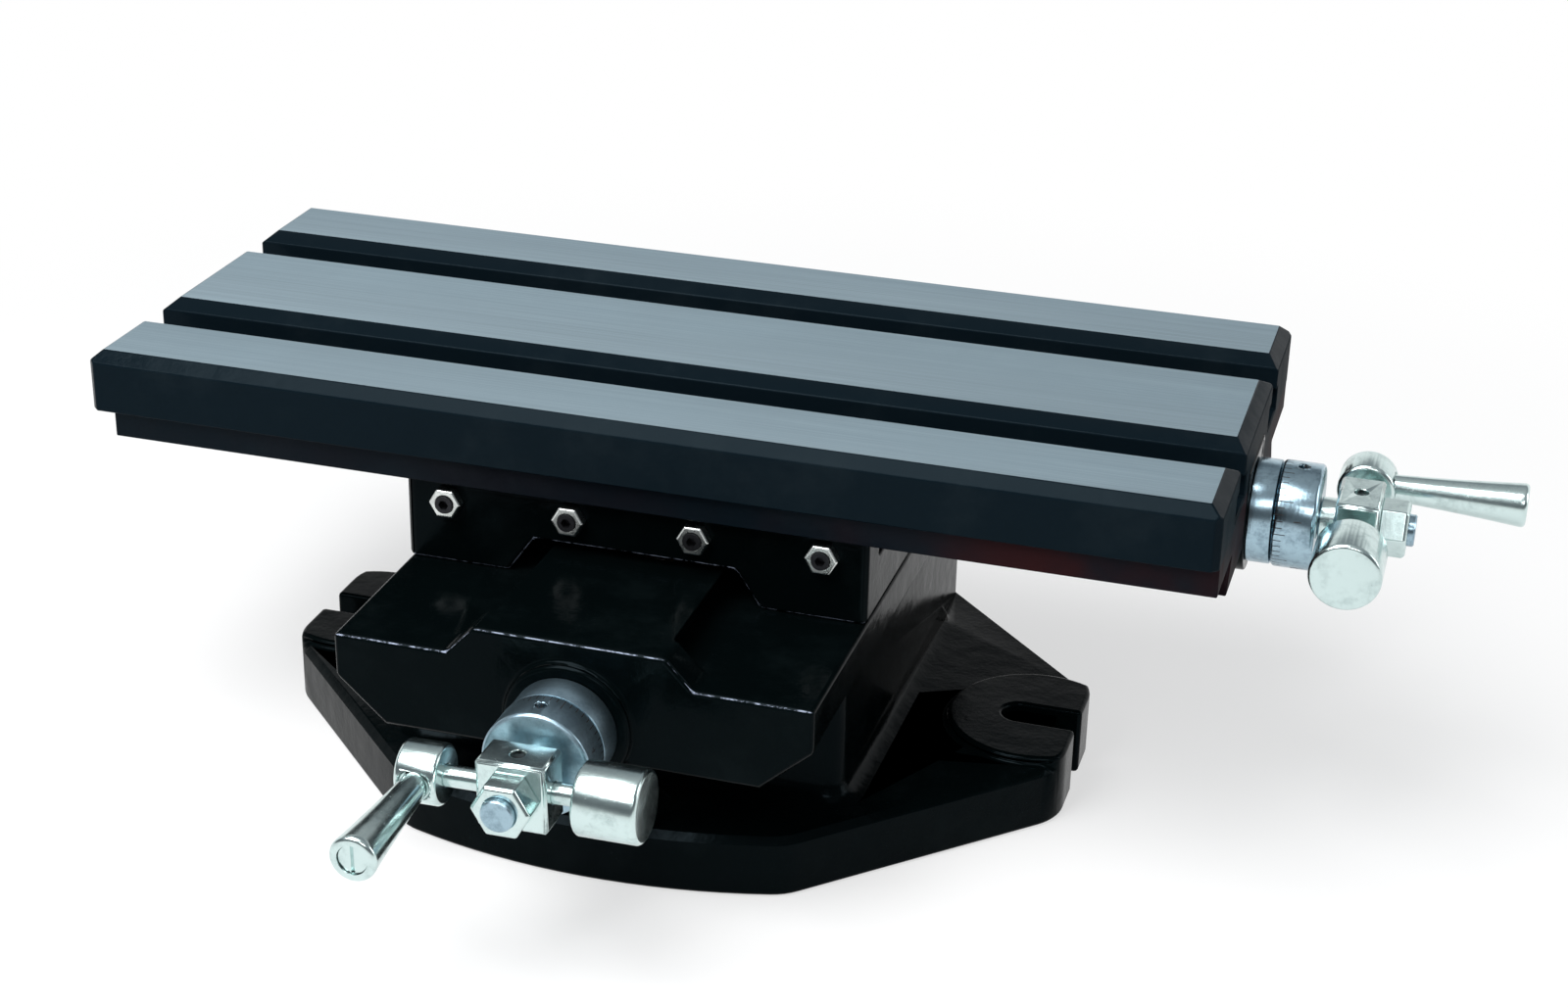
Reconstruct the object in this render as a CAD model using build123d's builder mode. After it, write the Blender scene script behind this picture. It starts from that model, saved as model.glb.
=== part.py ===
from build123d import *
from math import atan2, cos, degrees, radians, sin, tan
import os

os.makedirs("parts", exist_ok=True)

# All sizes are in millimetres.
# The origin is the centre of the foot's underside. +X runs along the table, +Y goes to the rear
# and +Z is up. Both slides stand at their rest position.

# Foot: an octagon with bowed front and rear edges
foot_height = 28.0
foot_half_length = 186.0
foot_end_half_width = 36.0
foot_corner_inset = 98.0
foot_bow = 14.0
foot_corner_radius = 25.0
foot_edge_chamfer = 3.0
foot_slot_width = 16.0
foot_slot_centre_x = 159.0
foot_pad_centre_x = 166.0
foot_pad_radius = 40.0
foot_pad_height = 4.0

# Body between the foot and the way slab, with pockets in its underside
body_height = 58.0
body_half_width = 101.0
body_front_y = -98.0
body_rear_y = 124.0
body_corner_radius = 9.0
cove_rear_y = 96.0
cove_steps = [(8.0, 3.0, 2.5), (3.0, 0.0, 5.5)]
pocket_length = 38.0
pocket_width = 60.0
pocket_pitch_x = 48.0
pocket_pitch_y = 70.0
pocket_columns = 4
pocket_rows = 3
pocket_depth = 50.0

# Way slab with the lower dovetail on top
slab_height = 20.0
slab_half_width = 105.0
slab_front_y = -159.0
slab_rear_y = 134.0
way_height = 13.0
way_half_width = 40.0
dovetail_angle = 60.0
slide_gap = 0.1
tunnel_width = 34.0
tunnel_below_screw = 16.0
tunnel_above_screw = 12.0

# Apron: the front web that carries the cross screw
apron_thickness = 18.0
apron_drop = 20.0
apron_corner = 22.0
apron_edge = 1.5
web_half_width_top = 42.0
web_half_width_bottom = 54.0
boss_radius = 28.0
boss_length = 4.0
cross_screw_below_slab = 4.0

# Saddle
saddle_height = 40.8
saddle_half_width = 105.0
saddle_half_depth = 98.0
saddle_rest_y = 18.0
saddle_front_wall = 20.0
saddle_roof_rise = 17.0
saddle_edge = 1.5
arch_clearance = 4.0
saddle_travel_front = 80.0
saddle_travel_rear = 55.0

# Table
table_length = 504.0
table_width = 220.0
table_thickness = 41.0
table_chamfer_width = 5.7
table_chamfer_drop = 5.0
table_corner_chamfer = 3.0
table_skirt_height = 13.0
table_skirt_inset = 4.5
table_skirt_left_inset = 9.0
table_dovetail_depth = 15.0
table_dovetail_half_width = 72.0
floor_clearance = 0.5
screw_channel_width = 31.0
screw_channel_above = 12.0
slot_spacing = 101.0
slot_mouth = 18.0
slot_tee_width = 30.0
slot_tee_height = 12.0
slot_depth = 26.0
slot_chamfer_width = 8.25
slot_chamfer_drop = 4.0
long_screw_below_table = 6.0

# Gibs and their adjusting screws
gib_thickness = 6.0
gib_end_inset = 4.0
gib_face_gap = 0.4
front_screw_count = 4
front_screw_spacing = 57.0
front_screw_radius = 4.0
front_screw_height = 4.0
front_nut_flats = 13.0
front_nut_height = 5.0
side_screw_count = 4
side_screw_spacing = 44.0
side_screw_radius = 3.0
side_screw_height = 6.5
side_nut_flats = 10.0
side_nut_height = 5.0
nut_chamfer = 0.7
gib_screw_stand_out = 1.0
gib_screw_tip_gap = 0.3
screw_hole_clearance = 0.1
socket_depth = 4.0

# Lead screws, their nuts and bearings
screw_radius = 7.5
journal_radius = 7.0
tail_radius = 5.0
running_clearance = 0.05
collar_radius = 8.2
collar_length = 6.0
collar_gap = 0.3
sleeve_radius = 23.0
spigot_radius = 13.0
long_sleeve_length = 10.5
cross_sleeve_length = 15.0
lead_nut_half_width = 14.0
long_nut_half_length = 24.0
long_nut_top_gap = 1.0
cross_nut_half_length = 20.0
cross_nut_below_screw = 13.0
cross_nut_back = 14.0
nut_end_clearance = 1.5
long_nut_screw_x = 19.0
long_nut_screw_y = 10.5
cross_nut_screw_x = 8.0
cross_nut_screw_back = 10.0
nut_screw_radius = 2.5
nut_screw_head_radius = 4.25
nut_screw_head_height = 2.4
nut_screw_length = 17.0

# End plates that carry the long screw, let into the table's ends
plate_thickness = 6.5
plate_stand_out = 0.5
plate_fit = 0.05
plate_half_width = 24.5
plate_above = 26.0
plate_below = 27.5
plate_corner = 3.0
plate_bolt_y = 18.5
plate_bolt_high = 20.0
plate_bolt_low = 0.0
plate_bolt_radius = 2.5
plate_bolt_head_radius = 4.25
plate_bolt_head_height = 3.0
plate_bolt_length = 20.0

# Dials
dial_radius = 23.5
dial_length = 18.2
dial_gap = 0.3
dial_bevel = 1.2
dial_screw_radius = 2.0
dial_screw_length = 12.0

# Cranks
crank_offset = 35.0
hub_half_length = 9.5
hub_half_width = 15.0
hub_neck_radius = 9.5
hub_edge = 1.2
rod_radius = 4.5
rod_seat_depth = 3.0
crank_radius = 40.0
grip_drum_radius = 12.8
grip_drum_length = 18.0
grip_spot_radius = 7.0
grip_spot_depth = 1.6
weight_radius = 15.4
weight_length = 27.0
drum_edge = 1.2
crank_nut_flats = 22.0
crank_nut_height = 12.0
crank_stud_stand_out = 3.0
hub_screw_radius = 3.0
hub_screw_length = 5.0
set_screw_tip_gap = 0.2
long_crank_tilt = 2.0
cross_crank_tilt = 1.0

# Grips: the flank goes through (radius, distance from the root) stations
grip_gap = 0.3
grip_length = 58.0
grip_stations = [(6.0, 0.0), (6.5, 9.0), (7.3, 20.0), (8.6, 36.0), (9.8, 56.5)]
grip_tip_edge = 1.5
spindle_radius = 4.0
spindle_seat = 9.0
spindle_head_radius = 6.0
spindle_head_height = 3.5
spindle_recess = 4.5
driver_slot_width = 1.6
driver_slot_depth = 1.4

# Heights that follow from the stack
slab_bottom_z = foot_height + body_height
slab_top_z = slab_bottom_z + slab_height
way_top_z = slab_top_z + way_height
saddle_bottom_z = slab_top_z + slide_gap
saddle_roof_z = saddle_bottom_z + saddle_roof_rise
saddle_top_z = saddle_bottom_z + saddle_height
table_bottom_z = saddle_top_z + slide_gap
table_top_z = table_bottom_z + table_thickness
dovetail_bottom_z = table_bottom_z - table_dovetail_depth
saddle_floor_z = dovetail_bottom_z - floor_clearance
cross_screw_z = slab_bottom_z - cross_screw_below_slab
long_screw_z = table_bottom_z - long_screw_below_table

# Dovetail flanks
slope = 1 / tan(radians(dovetail_angle))
gib_width = gib_thickness / sin(radians(dovetail_angle))
way_half_root = way_half_width - way_height * slope
table_dovetail_half_root = table_dovetail_half_width - table_dovetail_depth * slope

# Places that follow along the slides and the two screws
body_centre_y = (body_front_y + body_rear_y) / 2
tunnel_front_y = slab_front_y + apron_thickness
cross_bearing_y = slab_front_y - boss_length
cross_bearing_depth = boss_length + apron_thickness
long_bearing_x = table_length / 2 + plate_stand_out
saddle_front_y = saddle_rest_y - saddle_half_depth
saddle_rear_y = saddle_rest_y + saddle_half_depth
cross_nut_y = saddle_rest_y + cross_nut_back
nut_room = cross_nut_half_length + nut_end_clearance
way_slot_front_y = cross_nut_y - saddle_travel_front - nut_room
tunnel_rear_y = cross_nut_y + saddle_travel_rear + nut_room
foot_half_width = foot_end_half_width + foot_corner_inset
foot_corner_x = foot_half_length - foot_corner_inset
plate_bolt_places = [
    (side * plate_bolt_y, height)
    for side in (-1, 1)
    for height in (plate_bolt_low, plate_bolt_high)
]
long_nut_screw_places = [
    (side * long_nut_screw_x, saddle_rest_y + end * long_nut_screw_y)
    for side in (-1, 1)
    for end in (-1, 1)
]
cross_nut_screw_places = [
    (side * cross_nut_screw_x, cross_nut_y + cross_nut_screw_back) for side in (-1, 1)
]

# Bearing planes: the normal points out along the screw, the X direction lies along the crank's arm
tilt = radians(long_crank_tilt)
cross_tilt = radians(cross_crank_tilt)
cross_axis = Plane(
    origin=(0, cross_bearing_y, cross_screw_z),
    x_dir=(cos(cross_tilt), 0, sin(cross_tilt)),
    z_dir=(0, -1, 0),
)
long_axis = Plane(
    origin=(long_bearing_x, saddle_rest_y, long_screw_z),
    x_dir=(0, cos(tilt), sin(tilt)),
    z_dir=(1, 0, 0),
)


def keep(piece, node):
    """Label a finished piece and write its file."""
    piece.part.label = node
    export_step(piece.part, f"parts/{node}.step")


def across(y):
    """Plane of a cross-section at depth y. Its normal faces the front."""
    return Plane.XZ.offset(-y)


def outer_edges(piece, plane, count):
    """Rim edges of the count faces that lie furthest along a plane's normal."""
    faces = piece.faces().sort_by(Axis(plane.origin, plane.z_dir))[-count:]
    return ShapeList([edge for face in faces for edge in face.outer_wire().edges()])


# Base casting
with BuildSketch() as foot_outline:
    with BuildLine():
        for side in (-1, 1):
            Polyline(
                (side * foot_corner_x, -foot_half_width),
                (side * foot_half_length, -foot_end_half_width),
                (side * foot_half_length, foot_end_half_width),
                (side * foot_corner_x, foot_half_width),
            )
            ThreePointArc(
                (-foot_corner_x, side * foot_half_width),
                (0, side * (foot_half_width + foot_bow)),
                (foot_corner_x, side * foot_half_width),
            )
    make_face()
    fillet(foot_outline.vertices(), foot_corner_radius)

with BuildPart() as base_casting:
    with BuildSketch():
        add(foot_outline.sketch)
    extrude(amount=foot_height)
    chamfer(base_casting.edges().group_by(Axis.Z)[-1], foot_edge_chamfer)
    # Cove between foot and body, in two steps that each narrow from one offset to the next.
    # It runs out before the body's rear corners, where the foot's edge is close.
    cove_base_z = foot_height
    for offset_low, offset_high, rise in cove_steps:
        with BuildSketch(Plane.XY.offset(cove_base_z)):
            with Locations((0, (body_front_y - offset_low + cove_rear_y) / 2)):
                RectangleRounded(
                    2 * (body_half_width + offset_low),
                    cove_rear_y - body_front_y + offset_low,
                    body_corner_radius + offset_low,
                )
        extrude(amount=rise, taper=degrees(atan2(offset_low - offset_high, rise)))
        cove_base_z += rise
    # Body
    with BuildSketch(Plane.XY.offset(foot_height)):
        with Locations((0, body_centre_y)):
            RectangleRounded(2 * body_half_width, body_rear_y - body_front_y, body_corner_radius)
    extrude(amount=body_height)
    # Raised pads under the clamping bolts, cut off flush with the foot's outline
    with BuildSketch():
        with Locations((-foot_pad_centre_x, 0), (foot_pad_centre_x, 0)):
            Circle(foot_pad_radius)
        add(foot_outline.sketch, mode=Mode.INTERSECT)
    extrude(amount=foot_height + foot_pad_height)
    # Way slab
    with BuildSketch(Plane.XY.offset(slab_bottom_z)):
        with Locations((0, (slab_front_y + slab_rear_y) / 2)):
            Rectangle(2 * slab_half_width, slab_rear_y - slab_front_y)
    extrude(amount=slab_height)
    # Dovetail way behind the apron
    with BuildSketch(across(slab_rear_y)):
        Polygon(
            (-way_half_root, slab_top_z),
            (way_half_root, slab_top_z),
            (way_half_width, way_top_z),
            (-way_half_width, way_top_z),
            align=None,
        )
    extrude(amount=slab_rear_y - tunnel_front_y)
    # Apron with its raised centre and the bearing boss
    with BuildSketch(across(tunnel_front_y)):
        Polygon(
            (-slab_half_width, slab_top_z),
            (-web_half_width_bottom, slab_top_z),
            (-web_half_width_top, way_top_z),
            (web_half_width_top, way_top_z),
            (web_half_width_bottom, slab_top_z),
            (slab_half_width, slab_top_z),
            (slab_half_width, slab_bottom_z),
            (slab_half_width - apron_corner, slab_bottom_z - apron_drop),
            (apron_corner - slab_half_width, slab_bottom_z - apron_drop),
            (-slab_half_width, slab_bottom_z),
            align=None,
        )
    extrude(amount=apron_thickness)
    with BuildSketch(across(tunnel_front_y)):
        with Locations((0, cross_screw_z)):
            Circle(boss_radius)
    extrude(amount=cross_bearing_depth)
    # Tunnel for the cross screw, and the slot in the way that its nut reaches down through
    for front_y, height in (
        (tunnel_front_y, tunnel_below_screw + tunnel_above_screw),
        (way_slot_front_y, way_top_z - cross_screw_z + tunnel_below_screw),
    ):
        with BuildSketch(across(tunnel_rear_y)):
            with Locations((0, cross_screw_z - tunnel_below_screw)):
                Rectangle(tunnel_width, height, align=(Align.CENTER, Align.MIN))
        extrude(amount=tunnel_rear_y - front_y, mode=Mode.SUBTRACT)
    # Bores for the bearing sleeve and for the screw's tail
    with BuildSketch(cross_axis):
        Circle(spigot_radius + running_clearance)
    extrude(amount=-cross_bearing_depth, mode=Mode.SUBTRACT)
    with BuildSketch(across(slab_rear_y)):
        with Locations((0, cross_screw_z)):
            Circle(tail_radius + running_clearance)
    extrude(amount=slab_rear_y - tunnel_rear_y, mode=Mode.SUBTRACT)
    # Pockets in the underside
    with BuildSketch(Plane.XY):
        with Locations((0, body_centre_y)):
            with GridLocations(pocket_pitch_x, pocket_pitch_y, pocket_columns, pocket_rows):
                Rectangle(pocket_length, pocket_width)
    extrude(amount=pocket_depth, mode=Mode.SUBTRACT)
    # Clamping slots, open at the ends of the foot
    with BuildSketch(Plane.XY):
        for side in (-1, 1):
            with Locations((side * foot_slot_centre_x, 0)):
                Circle(foot_slot_width / 2)
            with Locations((side * (foot_half_length + foot_slot_centre_x) / 2, 0)):
                Rectangle(foot_half_length - foot_slot_centre_x, foot_slot_width)
    extrude(amount=foot_height + foot_pad_height, mode=Mode.SUBTRACT)
keep(base_casting, "base_casting")


# Saddle casting
with BuildPart() as saddle_casting:
    with BuildSketch(Plane.XY.offset(saddle_bottom_z)):
        with Locations((0, saddle_rest_y)):
            Rectangle(2 * saddle_half_width, 2 * saddle_half_depth)
    extrude(amount=saddle_height)
    chamfer(saddle_casting.edges().filter_by(Axis.Z), saddle_edge)
    # Lower dovetail: its left side also takes the gib
    lower_root = way_half_root + slide_gap
    lower_rise = saddle_roof_z - slab_top_z
    with BuildSketch(across(saddle_rear_y)):
        Polygon(
            (lower_root, slab_top_z),
            (lower_root + lower_rise * slope, saddle_roof_z),
            (-lower_root - gib_width - slide_gap - lower_rise * slope, saddle_roof_z),
            (-lower_root - gib_width - slide_gap, slab_top_z),
            align=None,
        )
    extrude(amount=2 * saddle_half_depth - saddle_front_wall, mode=Mode.SUBTRACT)
    # Arch in the front wall that clears the apron's raised centre
    with BuildSketch(across(saddle_front_y + saddle_front_wall)):
        Polygon(
            (web_half_width_bottom + arch_clearance, slab_top_z),
            (web_half_width_top + arch_clearance, saddle_roof_z),
            (-web_half_width_top - arch_clearance, saddle_roof_z),
            (-web_half_width_bottom - arch_clearance, slab_top_z),
            align=None,
        )
    extrude(amount=saddle_front_wall, mode=Mode.SUBTRACT)
    # Upper dovetail: its front side also takes the gib
    upper_root = table_dovetail_half_root + slide_gap
    upper_rise = saddle_top_z - saddle_floor_z
    with BuildSketch(Plane.YZ.offset(-saddle_half_width)):
        with Locations((saddle_rest_y, 0)):
            Polygon(
                (upper_root, saddle_top_z),
                (upper_root + upper_rise * slope, saddle_floor_z),
                (-upper_root - gib_width - slide_gap - upper_rise * slope, saddle_floor_z),
                (-upper_root - gib_width - slide_gap, saddle_top_z),
                align=None,
            )
    extrude(amount=2 * saddle_half_width, mode=Mode.SUBTRACT)
    # Threaded holes for the gib screws
    with BuildSketch(across(saddle_rest_y)):
        with Locations((0, dovetail_bottom_z + front_screw_height)):
            with GridLocations(front_screw_spacing, 0, front_screw_count, 1):
                Circle(front_screw_radius + screw_hole_clearance)
    extrude(amount=saddle_half_depth, mode=Mode.SUBTRACT)
    with BuildSketch(Plane.YZ):
        with Locations((saddle_rest_y, slab_top_z + side_screw_height)):
            with GridLocations(side_screw_spacing, 0, side_screw_count, 1):
                Circle(side_screw_radius + screw_hole_clearance)
    extrude(amount=-saddle_half_width, mode=Mode.SUBTRACT)
    # Counterbored holes for the screws that hold the lead nuts
    for level, depth, places in (
        (saddle_roof_z, nut_screw_head_height, long_nut_screw_places),
        (saddle_floor_z, -nut_screw_head_height, cross_nut_screw_places),
    ):
        with BuildSketch(Plane.XY.offset(saddle_roof_z)):
            with Locations(*places):
                Circle(nut_screw_radius + screw_hole_clearance)
        extrude(amount=saddle_floor_z - saddle_roof_z, mode=Mode.SUBTRACT)
        with BuildSketch(Plane.XY.offset(level)):
            with Locations(*places):
                Circle(nut_screw_head_radius + screw_hole_clearance)
        extrude(amount=depth, mode=Mode.SUBTRACT)
keep(saddle_casting, "saddle_casting")


# Gibs: strips between a dovetail's flank and the saddle
with BuildPart() as cross_gib:
    inner_low = way_half_root + slide_gap + gib_face_gap * slope
    inner_high = way_half_root + slide_gap + (way_height - gib_face_gap) * slope
    with BuildSketch(across(saddle_rear_y - gib_end_inset)):
        Polygon(
            (-inner_low, slab_top_z + gib_face_gap),
            (-inner_high, way_top_z - gib_face_gap),
            (-inner_high - gib_width, way_top_z - gib_face_gap),
            (-inner_low - gib_width, slab_top_z + gib_face_gap),
            align=None,
        )
    extrude(amount=2 * saddle_half_depth - saddle_front_wall - 2 * gib_end_inset)
keep(cross_gib, "cross_gib")

with BuildPart() as long_gib:
    inner_high = table_dovetail_half_root + slide_gap + gib_face_gap * slope
    inner_low = inner_high + (table_dovetail_depth - 2 * gib_face_gap) * slope
    with BuildSketch(Plane.YZ.offset(gib_end_inset - saddle_half_width)):
        with Locations((saddle_rest_y, 0)):
            Polygon(
                (-inner_high, table_bottom_z - gib_face_gap),
                (-inner_high - gib_width, table_bottom_z - gib_face_gap),
                (-inner_low - gib_width, dovetail_bottom_z + gib_face_gap),
                (-inner_low, dovetail_bottom_z + gib_face_gap),
                align=None,
            )
    extrude(amount=2 * (saddle_half_width - gib_end_inset))
keep(long_gib, "long_gib")


def gib_screw_row(face, spacing, count, radius, reach, nut_flats, nut_height, screws_node, nuts_node):
    """Grub screws with hexagon sockets, and their lock nuts, in a row on a face of the saddle."""
    stand_out = nut_height + gib_screw_stand_out
    with BuildPart() as screws:
        with BuildSketch(face.offset(stand_out)):
            with GridLocations(spacing, 0, count, 1):
                Circle(radius)
        extrude(amount=-reach - stand_out)
        with BuildSketch(face.offset(stand_out)):
            with GridLocations(spacing, 0, count, 1):
                RegularPolygon(radius / 2, 6, major_radius=False)
        extrude(amount=-socket_depth, mode=Mode.SUBTRACT)
    keep(screws, screws_node)
    with BuildPart() as nuts:
        with BuildSketch(face):
            with GridLocations(spacing, 0, count, 1):
                RegularPolygon(nut_flats / 2, 6, major_radius=False)
        extrude(amount=nut_height)
        chamfer(outer_edges(nuts, face, count), nut_chamfer)
        with BuildSketch(face):
            with GridLocations(spacing, 0, count, 1):
                Circle(radius + screw_hole_clearance)
        extrude(amount=nut_height, mode=Mode.SUBTRACT)
    keep(nuts, nuts_node)


front_screw_z = dovetail_bottom_z + front_screw_height
front_screw_low = table_dovetail_depth - front_screw_height + front_screw_radius
front_screw_reach = saddle_half_depth - gib_screw_tip_gap - (
    table_dovetail_half_root + slide_gap + front_screw_low * slope + gib_width
)
gib_screw_row(
    Plane(origin=(0, saddle_front_y, front_screw_z), x_dir=(1, 0, 0), z_dir=(0, -1, 0)),
    front_screw_spacing, front_screw_count, front_screw_radius, front_screw_reach,
    front_nut_flats, front_nut_height, "long_gib_screws", "long_gib_nuts",
)
side_screw_z = slab_top_z + side_screw_height
side_screw_high = side_screw_height + side_screw_radius
side_screw_reach = saddle_half_width - gib_screw_tip_gap - (
    way_half_root + slide_gap + side_screw_high * slope + gib_width
)
gib_screw_row(
    Plane(
        origin=(-saddle_half_width, saddle_rest_y, side_screw_z), x_dir=(0, -1, 0), z_dir=(-1, 0, 0)
    ),
    side_screw_spacing, side_screw_count, side_screw_radius, side_screw_reach,
    side_nut_flats, side_nut_height, "cross_gib_screws", "cross_gib_nuts",
)


def plate_outline(margin):
    """Draw an end plate's outline, grown by a margin, in the sketch that calls it."""
    half_width = plate_half_width + margin
    with Locations((saddle_rest_y, long_screw_z)):
        with Locations((0, plate_above + margin)):
            RectangleRounded(
                2 * half_width,
                plate_above + margin + plate_corner,
                plate_corner,
                align=(Align.CENTER, Align.MAX),
            )
        with Locations((0, plate_half_width - plate_below)):
            Rectangle(
                2 * half_width,
                plate_below - plate_half_width + plate_above - plate_corner,
                align=(Align.CENTER, Align.MIN),
            )
            Circle(half_width)


# Table
with BuildPart() as table_casting:
    half = table_width / 2
    skirt_half = half - table_skirt_inset
    skirt_top_z = table_bottom_z + table_skirt_height
    tee_top = slot_tee_height - slot_depth
    with BuildSketch(Plane.YZ.offset(-table_length / 2)):
        with Locations((saddle_rest_y, 0)):
            Polygon(
                (-table_dovetail_half_width, dovetail_bottom_z),
                (table_dovetail_half_width, dovetail_bottom_z),
                (table_dovetail_half_root, table_bottom_z),
                (skirt_half, table_bottom_z),
                (skirt_half, skirt_top_z),
                (half, skirt_top_z),
                (half, table_top_z - table_chamfer_drop),
                (half - table_chamfer_width, table_top_z),
                (table_chamfer_width - half, table_top_z),
                (-half, table_top_z - table_chamfer_drop),
                (-half, skirt_top_z),
                (-skirt_half, skirt_top_z),
                (-skirt_half, table_bottom_z),
                (-table_dovetail_half_root, table_bottom_z),
                align=None,
            )
            # Channel for the long screw and its nut
            with Locations((0, dovetail_bottom_z)):
                Rectangle(
                    screw_channel_width,
                    long_screw_z + screw_channel_above - dovetail_bottom_z,
                    align=(Align.CENTER, Align.MIN),
                    mode=Mode.SUBTRACT,
                )
            # T-slots with chamfered mouths
            for side in (-1, 1):
                with Locations((side * slot_spacing / 2, table_top_z)):
                    Polygon(
                        (-slot_mouth / 2 - slot_chamfer_width, 0),
                        (-slot_mouth / 2, -slot_chamfer_drop),
                        (-slot_mouth / 2, tee_top),
                        (-slot_tee_width / 2, tee_top),
                        (-slot_tee_width / 2, -slot_depth),
                        (slot_tee_width / 2, -slot_depth),
                        (slot_tee_width / 2, tee_top),
                        (slot_mouth / 2, tee_top),
                        (slot_mouth / 2, -slot_chamfer_drop),
                        (slot_mouth / 2 + slot_chamfer_width, 0),
                        align=None,
                        mode=Mode.SUBTRACT,
                    )
    extrude(amount=table_length)
    # Upright corners
    corners = table_casting.edges().filter_by(Axis.Z).filter_by(
        lambda edge: abs(edge.center().Y - saddle_rest_y) > half - 1
    )
    chamfer(corners, table_corner_chamfer)
    # Chamfer across both ends of the lands
    with BuildSketch(across(saddle_rest_y + half)):
        for side in (-1, 1):
            Polygon(
                (side * table_length / 2, table_top_z),
                (side * (table_length / 2 - table_chamfer_width), table_top_z),
                (side * table_length / 2, table_top_z - table_chamfer_drop),
                align=None,
            )
    extrude(amount=table_width, mode=Mode.SUBTRACT)
    # The skirt stops short of the left end
    with BuildSketch(Plane.XY.offset(table_bottom_z)):
        with Locations((-table_length / 2, saddle_rest_y)):
            for side in (-1, 1):
                with Locations((0, side * table_dovetail_half_width)):
                    Rectangle(
                        table_skirt_left_inset,
                        table_width,
                        align=(Align.MIN, Align.MIN if side > 0 else Align.MAX),
                    )
    extrude(amount=table_skirt_height, mode=Mode.SUBTRACT)
    # Recesses and threaded holes for the end plates
    for side in (-1, 1):
        with BuildSketch(Plane.YZ.offset(side * long_bearing_x)):
            plate_outline(plate_fit)
        extrude(amount=-side * plate_thickness, mode=Mode.SUBTRACT)
        with BuildSketch(Plane.YZ.offset(side * table_length / 2)):
            with Locations((saddle_rest_y, long_screw_z)):
                with Locations(*plate_bolt_places):
                    Circle(plate_bolt_radius + screw_hole_clearance)
        extrude(amount=-side * plate_bolt_length, mode=Mode.SUBTRACT)
keep(table_casting, "table_casting")


def end_plate(side, bore, plate_node, bolts_node):
    """Plate on one end of the table, bored for the long screw, with its four cap screws."""
    outer_face = Plane.YZ.offset(side * long_bearing_x)
    with BuildPart() as plate:
        with BuildSketch(outer_face):
            plate_outline(0)
            with Locations((saddle_rest_y, long_screw_z)):
                Circle(bore, mode=Mode.SUBTRACT)
                with Locations(*plate_bolt_places):
                    Circle(plate_bolt_radius + screw_hole_clearance, mode=Mode.SUBTRACT)
        extrude(amount=-side * plate_thickness)
        with BuildSketch(outer_face):
            with Locations((saddle_rest_y, long_screw_z)):
                with Locations(*plate_bolt_places):
                    Circle(plate_bolt_head_radius + screw_hole_clearance)
        extrude(amount=-side * plate_bolt_head_height, mode=Mode.SUBTRACT)
    keep(plate, plate_node)
    with BuildPart() as bolts:
        with BuildSketch(outer_face):
            with Locations((saddle_rest_y, long_screw_z)):
                with Locations(*plate_bolt_places):
                    Circle(plate_bolt_head_radius)
        extrude(amount=-side * plate_bolt_head_height)
        with BuildSketch(outer_face):
            with Locations((saddle_rest_y, long_screw_z)):
                with Locations(*plate_bolt_places):
                    Circle(plate_bolt_radius)
        extrude(amount=-side * plate_bolt_length)
        with BuildSketch(outer_face):
            with Locations((saddle_rest_y, long_screw_z)):
                with Locations(*plate_bolt_places):
                    RegularPolygon(plate_bolt_head_radius / 2, 6, major_radius=False)
        extrude(amount=-side * plate_bolt_head_height / 2, mode=Mode.SUBTRACT)
    keep(bolts, bolts_node)


end_plate(1, spigot_radius + running_clearance, "bearing_plate", "bearing_plate_bolts")
end_plate(-1, tail_radius + running_clearance, "tail_plate", "tail_plate_bolts")


def nut_screw_holes(level, direction, places):
    """Cut the holes of a lead nut's screws in the part that calls it."""
    with BuildSketch(Plane.XY.offset(level)) as holes:
        with Locations(*places):
            Circle(nut_screw_radius + screw_hole_clearance)
    extrude(holes.sketch, amount=direction * nut_screw_length, mode=Mode.SUBTRACT)


# Lead nuts
with BuildPart() as long_nut:
    with BuildSketch(Plane.YZ.offset(-long_nut_half_length)):
        with Locations((saddle_rest_y, saddle_floor_z)):
            Rectangle(
                2 * lead_nut_half_width,
                long_screw_z + screw_channel_above - long_nut_top_gap - saddle_floor_z,
                align=(Align.CENTER, Align.MIN),
            )
        with Locations((saddle_rest_y, long_screw_z)):
            Circle(screw_radius + running_clearance, mode=Mode.SUBTRACT)
    extrude(amount=2 * long_nut_half_length)
    nut_screw_holes(saddle_roof_z, 1, long_nut_screw_places)
keep(long_nut, "long_nut")

with BuildPart() as cross_nut:
    with BuildSketch(across(cross_nut_y + cross_nut_half_length)):
        with Locations((0, cross_screw_z - cross_nut_below_screw)):
            Rectangle(
                2 * lead_nut_half_width,
                saddle_roof_z - cross_screw_z + cross_nut_below_screw,
                align=(Align.CENTER, Align.MIN),
            )
        with Locations((0, cross_screw_z)):
            Circle(screw_radius + running_clearance, mode=Mode.SUBTRACT)
    extrude(amount=2 * cross_nut_half_length)
    nut_screw_holes(saddle_floor_z, -1, cross_nut_screw_places)
keep(cross_nut, "cross_nut")


def nut_screws(level, direction, places, node):
    """Cap screws whose heads lie flush at one level of the saddle's web."""
    with BuildPart() as screws:
        for radius, length in (
            (nut_screw_head_radius, nut_screw_head_height),
            (nut_screw_radius, nut_screw_length),
        ):
            with BuildSketch(Plane.XY.offset(level)):
                with Locations(*places):
                    Circle(radius)
            extrude(amount=direction * length)
    keep(screws, node)


nut_screws(saddle_roof_z, 1, long_nut_screw_places, "long_nut_screws")
nut_screws(saddle_floor_z, -1, cross_nut_screw_places, "cross_nut_screws")


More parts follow.
